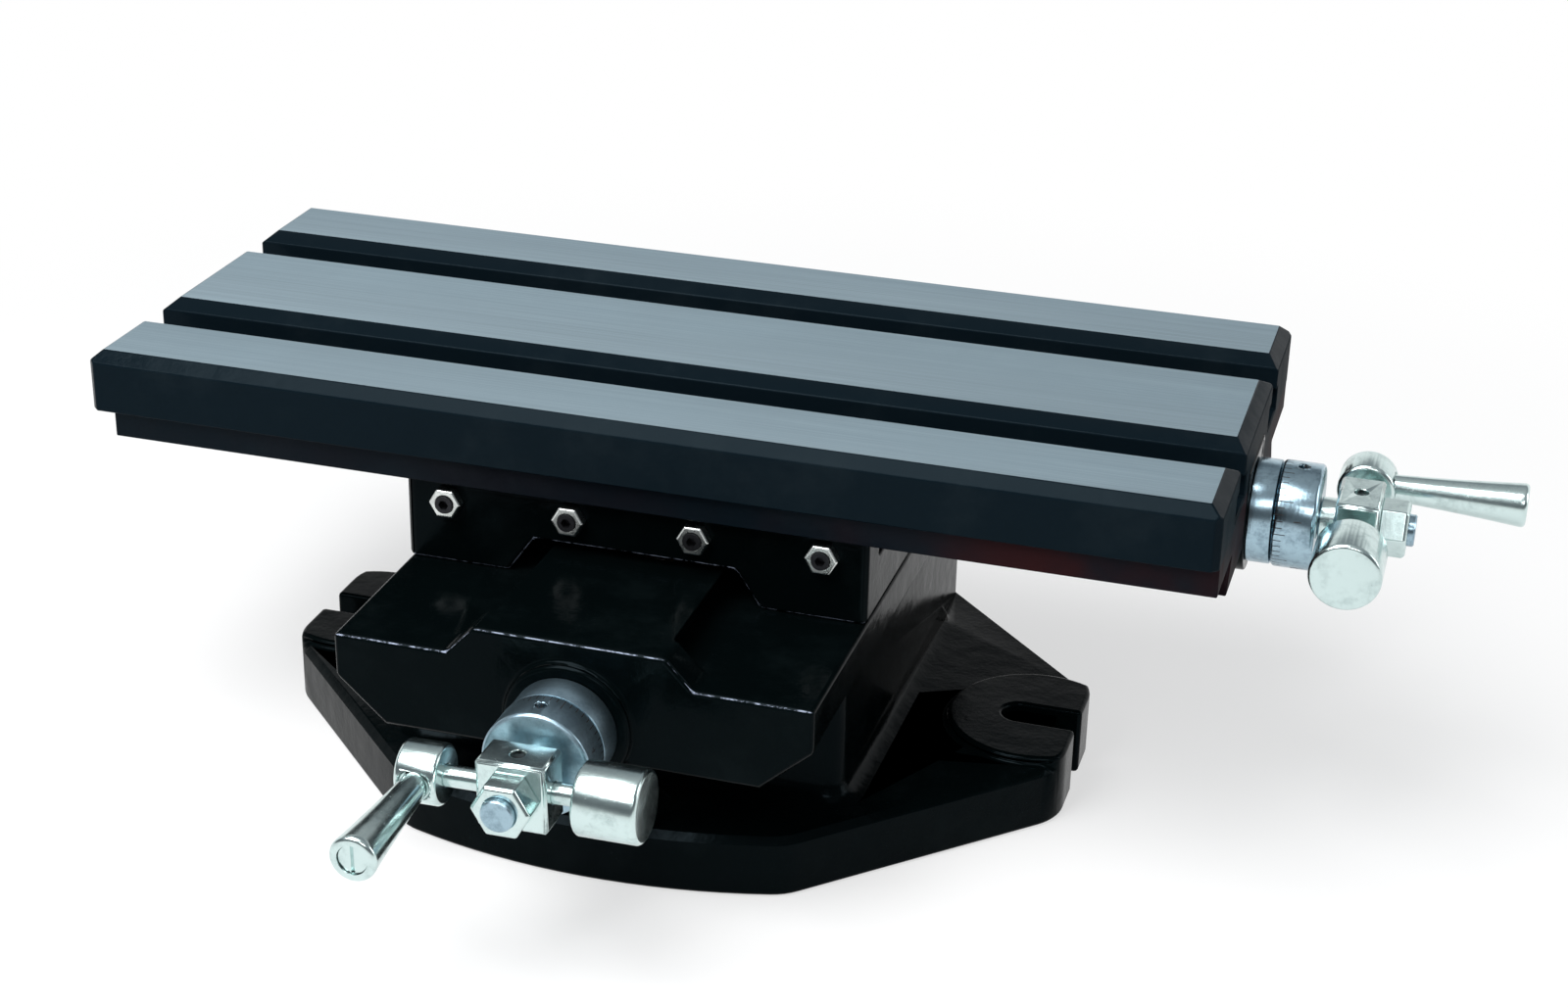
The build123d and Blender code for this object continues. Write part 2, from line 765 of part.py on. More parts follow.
def turned(axis, outline, *, at=(0, 0, 0)):
    """Revolve an outline of (radius, distance) points about a line along the axis' normal."""
    half_plane = Plane(
        origin=axis.from_local_coords(at), x_dir=axis.x_dir, z_dir=axis.y_dir * -1
    )
    with BuildSketch(half_plane) as profile:
        with BuildLine():
            Polyline(*outline, close=True)
        make_face()
    revolve(profile.sketch, axis=Axis(half_plane.origin, half_plane.y_dir))


def screw_set(axis, name, arm, sleeve_length, spigot_length, tail_end, tail_bearing):
    """Lead screw with its bearing sleeve, dial, crank and grip, built out from a bearing face."""
    dial_start = sleeve_length + dial_gap
    dial_end = dial_start + dial_length
    centre = sleeve_length + crank_offset
    hub_start = centre - hub_half_length
    hub_end = centre + hub_half_length
    nut_end = hub_end + crank_nut_height
    shoulder = -spigot_length - collar_gap
    bore = journal_radius + running_clearance

    with BuildPart() as screw:
        turned(axis, [
            (0, tail_end),
            (tail_radius, tail_end),
            (tail_radius, tail_end + tail_bearing + collar_gap),
            (screw_radius, tail_end + tail_bearing + collar_gap),
            (screw_radius, shoulder - collar_length),
            (collar_radius, shoulder - collar_length),
            (collar_radius, shoulder),
            (journal_radius, shoulder),
            (journal_radius, nut_end + crank_stud_stand_out),
            (0, nut_end + crank_stud_stand_out),
        ])
    keep(screw, f"{name}_screw")

    with BuildPart() as sleeve:
        turned(axis, [
            (bore, -spigot_length),
            (spigot_radius, -spigot_length),
            (spigot_radius, 0),
            (sleeve_radius, 0),
            (sleeve_radius, sleeve_length),
            (bore, sleeve_length),
        ])
    keep(sleeve, f"{name}_sleeve")

    with BuildPart() as dial:
        turned(axis, [
            (bore, dial_start),
            (dial_radius - dial_bevel, dial_start),
            (dial_radius, dial_start + dial_bevel),
            (dial_radius, dial_end - dial_bevel),
            (dial_radius - dial_bevel, dial_end),
            (bore, dial_end),
        ])
        with BuildSketch(radial(axis, dial_radius, (dial_start + dial_end) / 2)):
            Circle(dial_screw_radius + screw_hole_clearance)
        extrude(amount=-dial_radius + journal_radius, mode=Mode.SUBTRACT)
    keep(dial, f"{name}_dial")
    set_screw(
        radial(axis, journal_radius + set_screw_tip_gap, (dial_start + dial_end) / 2),
        dial_screw_radius, dial_screw_length, f"{name}_dial_screw",
    )

    with BuildPart() as hub:
        with BuildSketch(axis.offset(hub_start)):
            Rectangle(2 * hub_half_width, 2 * hub_half_width)
        extrude(amount=2 * hub_half_length)
        chamfer(hub.edges(), hub_edge)
        with BuildSketch(axis.offset(dial_end + dial_gap)):
            Circle(hub_neck_radius)
        extrude(amount=hub_start - dial_end - dial_gap)
        with BuildSketch(axis):
            Circle(bore)
        extrude(amount=hub_end, mode=Mode.SUBTRACT)
        for side in (-1, 1):
            with BuildSketch(arm_plane(axis, side, hub_half_width, centre)):
                Circle(rod_radius + running_clearance)
            extrude(amount=-rod_seat_depth, mode=Mode.SUBTRACT)
        with BuildSketch(radial(axis, hub_half_width, centre)):
            Circle(hub_screw_radius + screw_hole_clearance)
        extrude(amount=journal_radius - hub_half_width, mode=Mode.SUBTRACT)
    keep(hub, f"{name}_crank_hub")
    set_screw(
        radial(axis, journal_radius + set_screw_tip_gap, centre),
        hub_screw_radius, hub_screw_length, f"{name}_hub_screw",
    )

    with BuildPart() as crank_nut:
        with BuildSketch(axis.offset(hub_end)):
            RegularPolygon(crank_nut_flats / 2, 6, major_radius=False)
        extrude(amount=crank_nut_height)
        chamfer(outer_edges(crank_nut, axis, 1), hub_edge)
        with BuildSketch(axis.offset(hub_end)):
            Circle(bore)
        extrude(amount=crank_nut_height, mode=Mode.SUBTRACT)
    keep(crank_nut, f"{name}_crank_nut")

    drum_start = crank_radius - grip_drum_length / 2
    weight_start = crank_radius - weight_length / 2
    rod_start = hub_half_width - rod_seat_depth
    with BuildPart() as rods:
        for side, end in ((arm, drum_start), (-arm, weight_start)):
            with BuildSketch(arm_plane(axis, side, rod_start, centre)):
                Circle(rod_radius)
            extrude(amount=end + rod_seat_depth - rod_start)
    keep(rods, f"{name}_crank_rods")

    drum_face = arm_plane(axis, arm, drum_start, centre)
    with BuildPart() as drum:
        with BuildSketch(drum_face):
            Circle(grip_drum_radius)
        extrude(amount=grip_drum_length)
        chamfer(drum.edges(), drum_edge)
        with BuildSketch(drum_face):
            Circle(rod_radius + running_clearance)
        extrude(amount=rod_seat_depth, mode=Mode.SUBTRACT)
        spot = centre + grip_drum_radius - grip_spot_depth
        spindle_place = (arm * crank_radius, 0)
        with BuildSketch(axis.offset(spot)):
            with Locations(spindle_place):
                Circle(grip_spot_radius)
        extrude(amount=grip_spot_depth, mode=Mode.SUBTRACT)
        with BuildSketch(axis.offset(spot)):
            with Locations(spindle_place):
                Circle(spindle_radius + running_clearance)
        extrude(amount=-spindle_seat, mode=Mode.SUBTRACT)
    keep(drum, f"{name}_grip_drum")

    weight_face = arm_plane(axis, -arm, weight_start, centre)
    with BuildPart() as weight:
        with BuildSketch(weight_face):
            Circle(weight_radius)
        extrude(amount=weight_length)
        chamfer(weight.edges(), drum_edge)
        with BuildSketch(weight_face):
            Circle(rod_radius + running_clearance)
        extrude(amount=rod_seat_depth, mode=Mode.SUBTRACT)
    keep(weight, f"{name}_counterweight")

    grip_start = spot + grip_gap
    grip_end = grip_start + grip_length
    grip_bore = spindle_radius + running_clearance
    with BuildPart() as grip:
        turned(axis, [
            *[(radius, grip_start + distance) for radius, distance in grip_stations],
            (grip_stations[-1][0] - grip_tip_edge, grip_end),
            (spindle_head_radius + collar_gap, grip_end),
            (spindle_head_radius + collar_gap, grip_end - spindle_recess),
            (grip_bore, grip_end - spindle_recess),
            (grip_bore, grip_start),
        ], at=(arm * crank_radius, 0, 0))
    keep(grip, f"{name}_grip")

    head_start = grip_end - spindle_recess + running_clearance
    head_end = head_start + spindle_head_height
    with BuildPart() as spindle:
        turned(axis, [
            (0, spot - spindle_seat),
            (spindle_radius, spot - spindle_seat),
            (spindle_radius, head_start),
            (spindle_head_radius, head_start),
            (spindle_head_radius, head_end),
            (0, head_end),
        ], at=(arm * crank_radius, 0, 0))
        with BuildSketch(axis.offset(head_end)):
            with Locations(spindle_place):
                Rectangle(driver_slot_width, 2 * spindle_head_radius)
        extrude(amount=-driver_slot_depth, mode=Mode.SUBTRACT)
    keep(spindle, f"{name}_grip_spindle")


def radial(axis, radius, distance):
    """Plane that faces out from a screw's axis, square to the crank's arm."""
    return Plane(
        origin=axis.from_local_coords((0, radius, distance)), x_dir=axis.z_dir, z_dir=axis.y_dir
    )


def arm_plane(axis, side, reach, distance):
    """Plane across the crank's arm, facing away from the hub on one side."""
    return Plane(
        origin=axis.from_local_coords((side * reach, 0, distance)),
        x_dir=axis.z_dir,
        z_dir=axis.x_dir * side,
    )


def set_screw(tip, radius, length, node):
    """Grub screw that stands on a plane at its tip, with a hexagon socket in its outer end."""
    with BuildPart() as screw:
        with BuildSketch(tip):
            Circle(radius)
        extrude(amount=length)
        with BuildSketch(tip.offset(length)):
            RegularPolygon(radius / 2, 6, major_radius=False)
        extrude(amount=-length / 2, mode=Mode.SUBTRACT)
    keep(screw, node)


screw_set(
    long_axis, "long", 1, long_sleeve_length, plate_thickness,
    -2 * long_bearing_x, plate_thickness,
)
screw_set(
    cross_axis, "cross", -1, cross_sleeve_length, cross_bearing_depth,
    cross_bearing_y - slab_rear_y, slab_rear_y - tunnel_rear_y,
)
print("parts written")
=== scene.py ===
"""Dress the cross slide table: cast, ground, turned and plated finishes, threads and marks."""

from __future__ import annotations

import logging
import math
from dataclasses import dataclass, field
from enum import Enum
from typing import Any, Union

import bmesh
import bpy
import numpy as np
from mathutils import Matrix, Vector


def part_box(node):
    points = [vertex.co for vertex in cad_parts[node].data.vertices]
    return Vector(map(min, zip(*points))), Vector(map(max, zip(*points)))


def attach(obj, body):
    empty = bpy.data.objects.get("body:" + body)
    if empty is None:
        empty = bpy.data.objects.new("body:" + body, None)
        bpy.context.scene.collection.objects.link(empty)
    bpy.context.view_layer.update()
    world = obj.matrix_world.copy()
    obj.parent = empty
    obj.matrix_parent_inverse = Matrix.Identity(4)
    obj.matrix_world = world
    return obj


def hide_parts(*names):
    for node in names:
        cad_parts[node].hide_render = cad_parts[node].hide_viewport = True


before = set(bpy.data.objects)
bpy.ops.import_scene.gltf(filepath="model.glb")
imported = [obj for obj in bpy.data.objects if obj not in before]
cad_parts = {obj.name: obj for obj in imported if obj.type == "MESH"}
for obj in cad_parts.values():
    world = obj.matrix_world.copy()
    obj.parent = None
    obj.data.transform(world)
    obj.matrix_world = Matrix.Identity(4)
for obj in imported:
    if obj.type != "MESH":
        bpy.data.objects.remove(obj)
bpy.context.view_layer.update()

log = logging.getLogger("cross_slide_table")

Colour = tuple[float, float, float]
Point = tuple[float, float, float]
Range = tuple[float, float]
Sphere = tuple[Point, float]
Value = Union["Term", float, int]
Array = np.ndarray

# Points nearer than these, in metres, are joined: in new surfaces, and in copies of CAD nodes
NEW_MERGE = 1e-7
CAD_MERGE = 2e-6

# Faces of a copy that meet within this angle, in degrees, become one
FLAT_ANGLE = 0.6

# Edges steeper than these angles, in degrees, are shaded sharp
TURNED_SHARP = 32.0
ROUNDED_SHARP = 36.0
NUMERAL_SHARP = 40.0

# Faces across each rounding
ROUNDING_SEGMENTS = 3


class Term:
    """An output socket that can stand in a Python expression."""

    def __init__(self, graph: Graph, socket: bpy.types.NodeSocket) -> None:
        """Keep the socket and its graph."""
        self.graph = graph
        self.socket = socket

    def _math(self, operation: str, *values: Value) -> Term:
        """Add a Math node."""
        return self.graph.make(
            "ShaderNodeMath", {"operation": operation}, dict(enumerate(values))
        )

    def __add__(self, other: Value) -> Term:
        """Sum."""
        return self._math("ADD", self, other)

    def __sub__(self, other: Value) -> Term:
        """Difference."""
        return self._math("SUBTRACT", self, other)

    def __rsub__(self, other: Value) -> Term:
        """Difference with a number in front."""
        return self._math("SUBTRACT", other, self)

    def __mul__(self, other: Value) -> Term:
        """Product."""
        return self._math("MULTIPLY", self, other)

    def __gt__(self, other: Value) -> Term:
        """One where this value is greater, and zero elsewhere."""
        return self._math("GREATER_THAN", self, other)

    def __lt__(self, other: Value) -> Term:
        """One where this value is less, and zero elsewhere."""
        return self._math("LESS_THAN", self, other)

    def size(self) -> Term:
        """Absolute value."""
        return self._math("ABSOLUTE", self)

    def fraction(self) -> Term:
        """What is left after the whole part."""
        return self._math("FRACT", self)

    def most(self, other: Value) -> Term:
        """The greater of two values."""
        return self._math("MAXIMUM", self, other)

    def angle_to(self, other: Value) -> Term:
        """Angle whose tangent is this value over the other."""
        return self._math("ARCTAN2", self, other)

    def ramp(self, low: float, high: float, to_low: float = 0.0, to_high: float = 1.0) -> Term:
        """Smooth step between two values.

        Args:
            low: Where the step begins.
            high: Where it ends.
            to_low: The result up to low.
            to_high: The result from high on.

        Returns:
            The stepped value.
        """
        return self.graph.make(
            "ShaderNodeMapRange",
            {"interpolation_type": "SMOOTHSTEP"},
            {
                "Value": self, "From Min": low, "From Max": high,
                "To Min": to_low, "To Max": to_high,
            },
        )


class Graph:
    """A node tree that nodes are added to."""

    def __init__(self, tree: bpy.types.NodeTree) -> None:
        """Keep the tree."""
        self.tree = tree

    def make(
        self,
        kind: str,
        settings: dict[str, Any] | None = None,
        values: dict[Any, Any] | None = None,
        output: str | int = 0,
    ) -> Term:
        """Add a node.

        Args:
            kind: The node's type.
            settings: Its own settings.
            values: Numbers, colours or terms for its input sockets, by name or number.
            output: The output that is wanted.

        Returns:
            The output as a term.
        """
        node = self.tree.nodes.new(kind)
        for key, setting in (settings or {}).items():
            setattr(node, key, setting)
        for key, value in (values or {}).items():
            self.feed(node.inputs[key], value)
        return Term(self, node.outputs[output])

    def feed(self, socket: bpy.types.NodeSocket, value: Any) -> None:
        """Link a term to a socket, or set the socket's own value.

        Args:
            socket: The input socket.
            value: A term, a number, or the numbers of a colour or a vector.
        """
        if isinstance(value, Term):
            self.tree.links.new(value.socket, socket)
        elif isinstance(value, tuple) and len(value) == 3 and len(socket.default_value) == 4:
            socket.default_value = (*value, 1.0)
        else:
            socket.default_value = value

    def axes(self, place: Term) -> tuple[Term, Term, Term]:
        """X, Y and Z of a vector."""
        node = self.make("ShaderNodeSeparateXYZ", None, {0: place}).socket.node
        return tuple(Term(self, node.outputs[i]) for i in range(3))

    def noise(
        self, place: Term, scale: float, detail: float = 3.0, roughness: float = 0.5,
        stretch: Point | None = None, within: Range | None = None,
    ) -> Term:
        """Noise from 0 to 1.

        Args:
            place: Where it is looked up.
            scale: Lumps per metre.
            detail: Number of finer layers.
            roughness: Strength of each finer layer beside the one before.
            stretch: What the axes of the place are multiplied by first.
            within: Values that a smooth step then takes to 0 and 1.

        Returns:
            The noise.
        """
        if stretch is not None:
            place = self.make(
                "ShaderNodeVectorMath", {"operation": "MULTIPLY"}, {0: place, 1: stretch}
            )
        noise = self.make(
            "ShaderNodeTexNoise",
            None,
            {"Vector": place, "Scale": scale, "Detail": detail, "Roughness": roughness},
        )
        return noise if within is None else noise.ramp(*within)

    def blend(self, factor: Value, first: Any, second: Any) -> Term:
        """Mix two colours.

        Args:
            factor: Zero for the first colour, one for the second.
            first: A colour or a term.
            second: A colour or a term.

        Returns:
            The mixed colour.
        """
        return self.make(
            "ShaderNodeMix", {"data_type": "RGBA"}, {"Factor": factor, 6: first, 7: second}, 2
        )


class Surface(Graph):
    """The node tree of one material, with its Principled shader."""

    def __init__(self, name: str) -> None:
        """Start a material with one Principled shader on its output."""
        self.material = bpy.data.materials.new(name)
        self.material.use_nodes = True
        super().__init__(self.material.node_tree)
        self.shader = self.tree.nodes["Principled BSDF"]

    def set(self, **values: Any) -> None:
        """Set or link the Principled shader's sockets; an underscore stands for a space."""
        for key, value in values.items():
            self.feed(self.shader.inputs[key.replace("_", " ")], value)

    def place(self) -> Term:
        """Object coordinates."""
        return self.make("ShaderNodeTexCoord", output="Object")

    def bump(
        self, height: Term, distance: float, strength: float, under: Term | None = None
    ) -> Term:
        """Normal that follows a height.

        Args:
            height: The height, from 0 to 1.
            distance: What one stands for, in metres.
            strength: Share of the bump that shows.
            under: A normal that this one is laid over.

        Returns:
            The normal.
        """
        values = {"Height": height, "Distance": distance, "Strength": strength}
        if under is not None:
            values["Normal"] = under
        return self.make("ShaderNodeBump", None, values)


class Along(Enum):
    """A screw's direction: the number of its axis, and which way is outward."""

    X = (0, 1.0)
    Y = (1, -1.0)

    @property
    def axis(self) -> int:
        """Number of the coordinate along the screw."""
        return self.value[0]

    @property
    def outward(self) -> float:
        """Sign of the direction from the table out to the crank."""
        return self.value[1]


@dataclass(frozen=True)
class WornEdge:
    """A front edge, straight with a raised middle, along which a speckled highlight is painted.

    The edge's height goes from the middle's to the side's between two distances from X zero.
    The painted highlight strip lies within the width of the edge, on the front face only.
    """

    front: float
    middle: float
    side: float
    inner: float
    outer: float
    width: float = 0.0012
    # Colour of the painted highlight, which stands in for light caught on the rounded edge
    tone: Colour = (0.30, 0.34, 0.44)
    speckles: float = 210.0
    speckle_range: Range = (0.42, 0.60)

    def share(self, graph: Surface, place: Term) -> Term:
        """Where the highlight is painted.

        Args:
            graph: The casting's material.
            place: Object coordinates in it.

        Returns:
            One where the highlight is painted, zero elsewhere.
        """
        x, y, z = graph.axes(place)
        slope = graph.make(
            "ShaderNodeMapRange", None,
            {
                "Value": x.size(), "From Min": self.inner, "From Max": self.outer,
                "To Min": self.middle, "To Max": self.side,
            },
        )
        strip = ((z - slope).size() < self.width) * (y < self.front + self.width)
        return strip * graph.noise(
            place, self.speckles, roughness=0.7, within=self.speckle_range
        )


@dataclass(frozen=True)
class CastPaint:
    """Gloss enamel over a sand casting: a fine orange peel on broad unevenness, with some dust,
    and where given a painted highlight along one edge.
    """

    name: str = "black_enamel"
    colour: Colour = (0.0008, 0.0019, 0.0021)
    dusty: Colour = (0.0024, 0.0042, 0.0046)
    gloss: float = 0.13
    shine: float = 0.040
    tint: Colour = (0.62, 0.86, 1.0)
    # A painted highlight along one front edge, if any
    worn: WornEdge | None = None
    lumps: float = 55.0
    lump_height: float = 0.0008
    lump_strength: float = 0.55
    peel: float = 460.0
    peel_height: float = 0.00012
    peel_strength: float = 0.6
    peel_matt: float = 0.08
    dust: float = 24.0
    dust_range: Range = (0.46, 0.78)
    dust_matt: float = 0.12

    def dress(self, graph: Surface) -> tuple[Term, Term, Term]:
        """Lay the enamel.

        Args:
            graph: The material that it belongs to.

        Returns:
            Its colour, roughness and normal.
        """
        place = graph.place()
        broad = graph.noise(place, self.lumps, detail=2.0, roughness=0.45)
        fine = graph.noise(place, self.peel, detail=2.0)
        dust = graph.noise(place, self.dust, detail=5.0, roughness=0.65, within=self.dust_range)
        colour = graph.blend(dust, self.colour, self.dusty)
        # Painted highlight: a light bluish colour laid in speckles along the edge
        if self.worn is not None:
            colour = graph.blend(self.worn.share(graph, place), colour, self.worn.tone)
        roughness = dust * self.dust_matt + fine * self.peel_matt + self.gloss
        normal = graph.bump(broad, self.lump_height, self.lump_strength)
        normal = graph.bump(fine, self.peel_height, self.peel_strength, normal)
        return colour, roughness, normal

    def material(self) -> bpy.types.Material:
        """Make the material.

        Returns:
            Enamel on its own.
        """
        graph = Surface(self.name)
        colour, roughness, normal = self.dress(graph)
        graph.set(Base_Color=colour, Roughness=roughness, Normal=normal, Metallic=0.0)
        graph.set(Specular_IOR_Level=self.shine, Specular_Tint=self.tint)
        return graph.material


@dataclass(frozen=True)
class GroundTable:
    """Enamelled casting whose lands are ground bare: grey iron with long grinding lines.

    Below the step of its side the enamel is thin toward the right end, and the brown primer
    shows through. Both end faces are matt.
    """

    top: float
    step: float
    end: float
    name: str = "enamel_and_ground_lands"
    paint: CastPaint = field(
        default_factory=lambda: CastPaint(
            colour=(0.0034, 0.0074, 0.0108), dusty=(0.0064, 0.0112, 0.0148), shine=0.030
        )
    )
    primer: Colour = (0.0230, 0.0062, 0.0066)
    primer_patches: float = 11.0
    primer_range: Range = (0.30, 0.62)
    primer_start: float = 0.05
    primer_full: float = 0.20
    primer_least: float = 0.15
    iron: Colour = (0.248, 0.314, 0.350)
    dull: Colour = (0.192, 0.245, 0.276)
    depth: float = 0.00012
    line_stretch: Point = (7.0, 1900.0, 1.0)
    line_range: Range = (0.3, 0.7)
    line_matt: float = 0.14
    scratch_stretch: Point = (40.0, 5200.0, 1.0)
    scratch_height: float = 0.00003
    scratch_strength: float = 0.5
    clouds: float = 14.0
    cloud_range: Range = (0.3, 0.72)
    cloud_share: float = 0.3
    cloud_matt: float = 0.10
    iron_gloss: float = 0.40
    iron_metallic: float = 0.45
    end_depth: float = 0.0004
    end_matt: float = 0.42

    def material(self) -> bpy.types.Material:
        """Make the material.

        Returns:
            Bare iron on the lands, enamel on the rest.
        """
        graph = Surface(self.name)
        colour, roughness, normal = self.paint.dress(graph)
        place = graph.place()
        length, _, height = graph.axes(place)
        thin = graph.noise(
            place, self.primer_patches, detail=4.0, roughness=0.6, within=self.primer_range
        )
        toward_end = (self.primer_start, self.primer_full, self.primer_least, 1.0)
        thin = (height < self.step) * thin * length.ramp(*toward_end)
        colour = graph.blend(thin, colour, self.primer)
        bare = height > self.top - self.depth
        lines = graph.noise(place, 1.0, detail=4.0, roughness=0.6, stretch=self.line_stretch)
        scratches = graph.noise(
            place, 1.0, detail=2.0, roughness=0.6, stretch=self.scratch_stretch
        )
        clouds = graph.noise(
            place, self.clouds, detail=4.0, roughness=0.6, within=self.cloud_range
        )
        iron = graph.blend(lines.ramp(*self.line_range), self.dull, self.iron)
        iron = graph.blend(clouds * self.cloud_share, iron, self.dull)
        iron_roughness = lines * self.line_matt + clouds * self.cloud_matt + self.iron_gloss
        ground = graph.bump(scratches, self.scratch_height, self.scratch_strength)
        matt = length.size() > self.end - self.end_depth
        graph.set(
            Base_Color=graph.blend(bare, colour, iron),
            Roughness=roughness + bare * (iron_roughness - roughness) + matt * self.end_matt,
            Metallic=bare * self.iron_metallic,
            Normal=graph.make(
                "ShaderNodeMix", {"data_type": "VECTOR"}, {"Factor": bare, 4: normal, 5: ground}, 1
            ),
            Specular_IOR_Level=self.paint.shine,
            Specular_Tint=self.paint.tint,
        )
        return graph.material


@dataclass(frozen=True)
class Plating:
    """Bright plating with a faint green cast, light handling marks and soft waviness."""

    name: str
    colour: Colour = (0.62, 0.75, 0.74)
    stained: Colour = (0.32, 0.42, 0.42)
    gloss: float = 0.15
    stains: float = 130.0
    stain_range: Range = (0.44, 0.80)
    stain_share: float = 0.6
    stain_matt: float = 0.12
    scuffs: float = 260.0
    scuff_stretch: Point = (1.0, 1.0, 9.0)
    scuff_matt: float = 0.08
    waves: float = 90.0
    wave_height: float = 0.0003
    wave_strength: float = 0.25

    def material(self) -> bpy.types.Material:
        """Make the material.

        Returns:
            Polished metal with stains.
        """
        graph = Surface(self.name)
        place = graph.place()
        stains = graph.noise(
            place, self.stains, detail=5.0, roughness=0.7, within=self.stain_range
        )
        scuffs = graph.noise(place, self.scuffs, roughness=0.6, stretch=self.scuff_stretch)
        graph.set(
            Base_Color=graph.blend(stains * self.stain_share, self.colour, self.stained),
            Roughness=stains * self.stain_matt + scuffs * self.scuff_matt + self.gloss,
            Metallic=1.0,
            Normal=graph.bump(
                graph.noise(place, self.waves, detail=2.0), self.wave_height, self.wave_strength
            ),
        )
        return graph.material


@dataclass(frozen=True)
class TurnedSteel:
    """Steel straight from the lathe, with rings round its axis and grey mottling."""

    name: str
    along: Along
    gloss: float
    bright: Colour = (0.36, 0.50, 0.58)
    dark: Colour = (0.12, 0.185, 0.235)
    rings: float = 1500.0
    ring_stretch: float = 0.02
    ring_matt: float = 0.06
    ring_height: float = 0.00006
    ring_strength: float = 0.5
    mottle: float = 120.0
    mottle_range: Range = (0.40, 0.68)
    mottle_share: float = 0.6
    mottle_matt: float = 0.07

    def dress(self, graph: Surface) -> tuple[Term, Term, Term]:
        """Turn the steel.

        Args:
            graph: The material that it belongs to.

        Returns:
            Its colour, roughness and normal.
        """
        place = graph.place()
        along = [self.ring_stretch] * 3
        along[self.along.axis] = 1.0
        ringed = graph.noise(place, self.rings, detail=2.0, roughness=0.6, stretch=tuple(along))
        mottled = graph.noise(
            place, self.mottle, detail=5.0, roughness=0.75, within=self.mottle_range
        )
        colour = graph.blend(mottled * self.mottle_share, self.bright, self.dark)
        roughness = mottled * self.mottle_matt + ringed * self.ring_matt + self.gloss
        return colour, roughness, graph.bump(ringed, self.ring_height, self.ring_strength)

    def material(self) -> bpy.types.Material:
        """Make the material.

        Returns:
            Turned steel without marks.
        """
        graph = Surface(self.name)
        colour, roughness, normal = self.dress(graph)
        graph.set(Base_Color=colour, Roughness=roughness, Normal=normal, Metallic=1.0)
        return graph.material


@dataclass(frozen=True)
class GraduatedSteel:
    """Turned steel with black-filled graduations round one end of a dial."""

    steel: TurnedSteel
    centre: Point
    edge: float
    radius: float
    marks: int = 50
    marks_to_middle: int = 5
    marks_to_long: int = 10
    width: float = 0.00042
    short: float = 0.0045
    middle: float = 0.0060
    long: float = 0.0078
    ink: Colour = (0.006, 0.006, 0.007)
    ink_matt: float = 0.3

    def material(self) -> bpy.types.Material:
        """Make the material.

        Returns:
            Steel with marks, of which every fifth is longer and every tenth longest.
        """
        graph = Surface(self.steel.name)
        colour, roughness, normal = self.steel.dress(graph)
        along = self.steel.along
        across = [i for i in range(3) if i != along.axis]
        parts = graph.axes(graph.place())
        first, second = (parts[i] - self.centre[i] for i in across)
        turn = second.angle_to(first) * (1.0 / math.tau) + 1.0
        inside = (parts[along.axis] - self.edge) * along.outward
        ink: Term | None = None
        for count, length in (
            (self.marks, self.short),
            (self.marks // self.marks_to_middle, self.middle),
            (self.marks // self.marks_to_long, self.long),
        ):
            half = 0.5 * self.width * count / (math.tau * self.radius)
            line = ((turn * float(count) + 0.5).fraction() - 0.5).size() < half
            line = line * (inside < length)
            ink = line if ink is None else ink.most(line)
        graph.set(
            Base_Color=graph.blend(ink, colour, self.ink),
            Roughness=roughness + ink * self.ink_matt,
            Metallic=1.0 - ink,
            Normal=normal,
        )
        return graph.material


@dataclass(frozen=True)
class PlainMetal:
    """A small metal part's finish: one tone, cloudy, with fine scratches."""

    name: str
    colour: Colour
    gloss: float
    metallic: float = 1.0
    dull: float = 0.62
    clouds: float = 160.0
    cloud_range: Range = (0.35, 0.75)
    cloud_share: float = 0.6
    cloud_matt: float = 0.14
    scratches: float = 380.0
    scratch_stretch: Point = (1.0, 6.0, 14.0)
    scratch_matt: float = 0.10
    scratch_height: float = 0.00004
    scratch_strength: float = 0.4

    def material(self) -> bpy.types.Material:
        """Make the material.

        Returns:
            Cloudy metal.
        """
        graph = Surface(self.name)
        place = graph.place()
        clouds = graph.noise(
            place, self.clouds, detail=4.0, roughness=0.65, within=self.cloud_range
        )
        scratches = graph.noise(
            place, self.scratches, roughness=0.6, stretch=self.scratch_stretch
        )
        duller = tuple(self.dull * part for part in self.colour)
        graph.set(
            Base_Color=graph.blend(clouds * self.cloud_share, self.colour, duller),
            Roughness=clouds * self.cloud_matt + scratches * self.scratch_matt + self.gloss,
            Metallic=self.metallic,
            Normal=graph.bump(scratches, self.scratch_height, self.scratch_strength),
        )
        return graph.material


def dress_node(node: str, material: bpy.types.Material) -> None:
    """Put one material on a CAD node, in place of all its own.

    Args:
        node: The CAD node.
        material: Its finish.
    """
    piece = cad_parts[node]
    piece.data.materials.clear()
    piece.data.materials.append(material)
    log.info("dressed %s", node)


def stand(piece: bpy.types.Object, body: str, slot: str, *nodes: str) -> None:
    """Let a piece ride on a body and take the place of CAD nodes.

    Args:
        piece: The new piece.
        body: The body that it moves with.
        slot: Not used.
        nodes: The CAD nodes that it stands for.
    """
    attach(piece, body)
    if nodes:
        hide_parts(*nodes)
    log.info("made %s with %d faces", piece.name, len(piece.data.polygons))


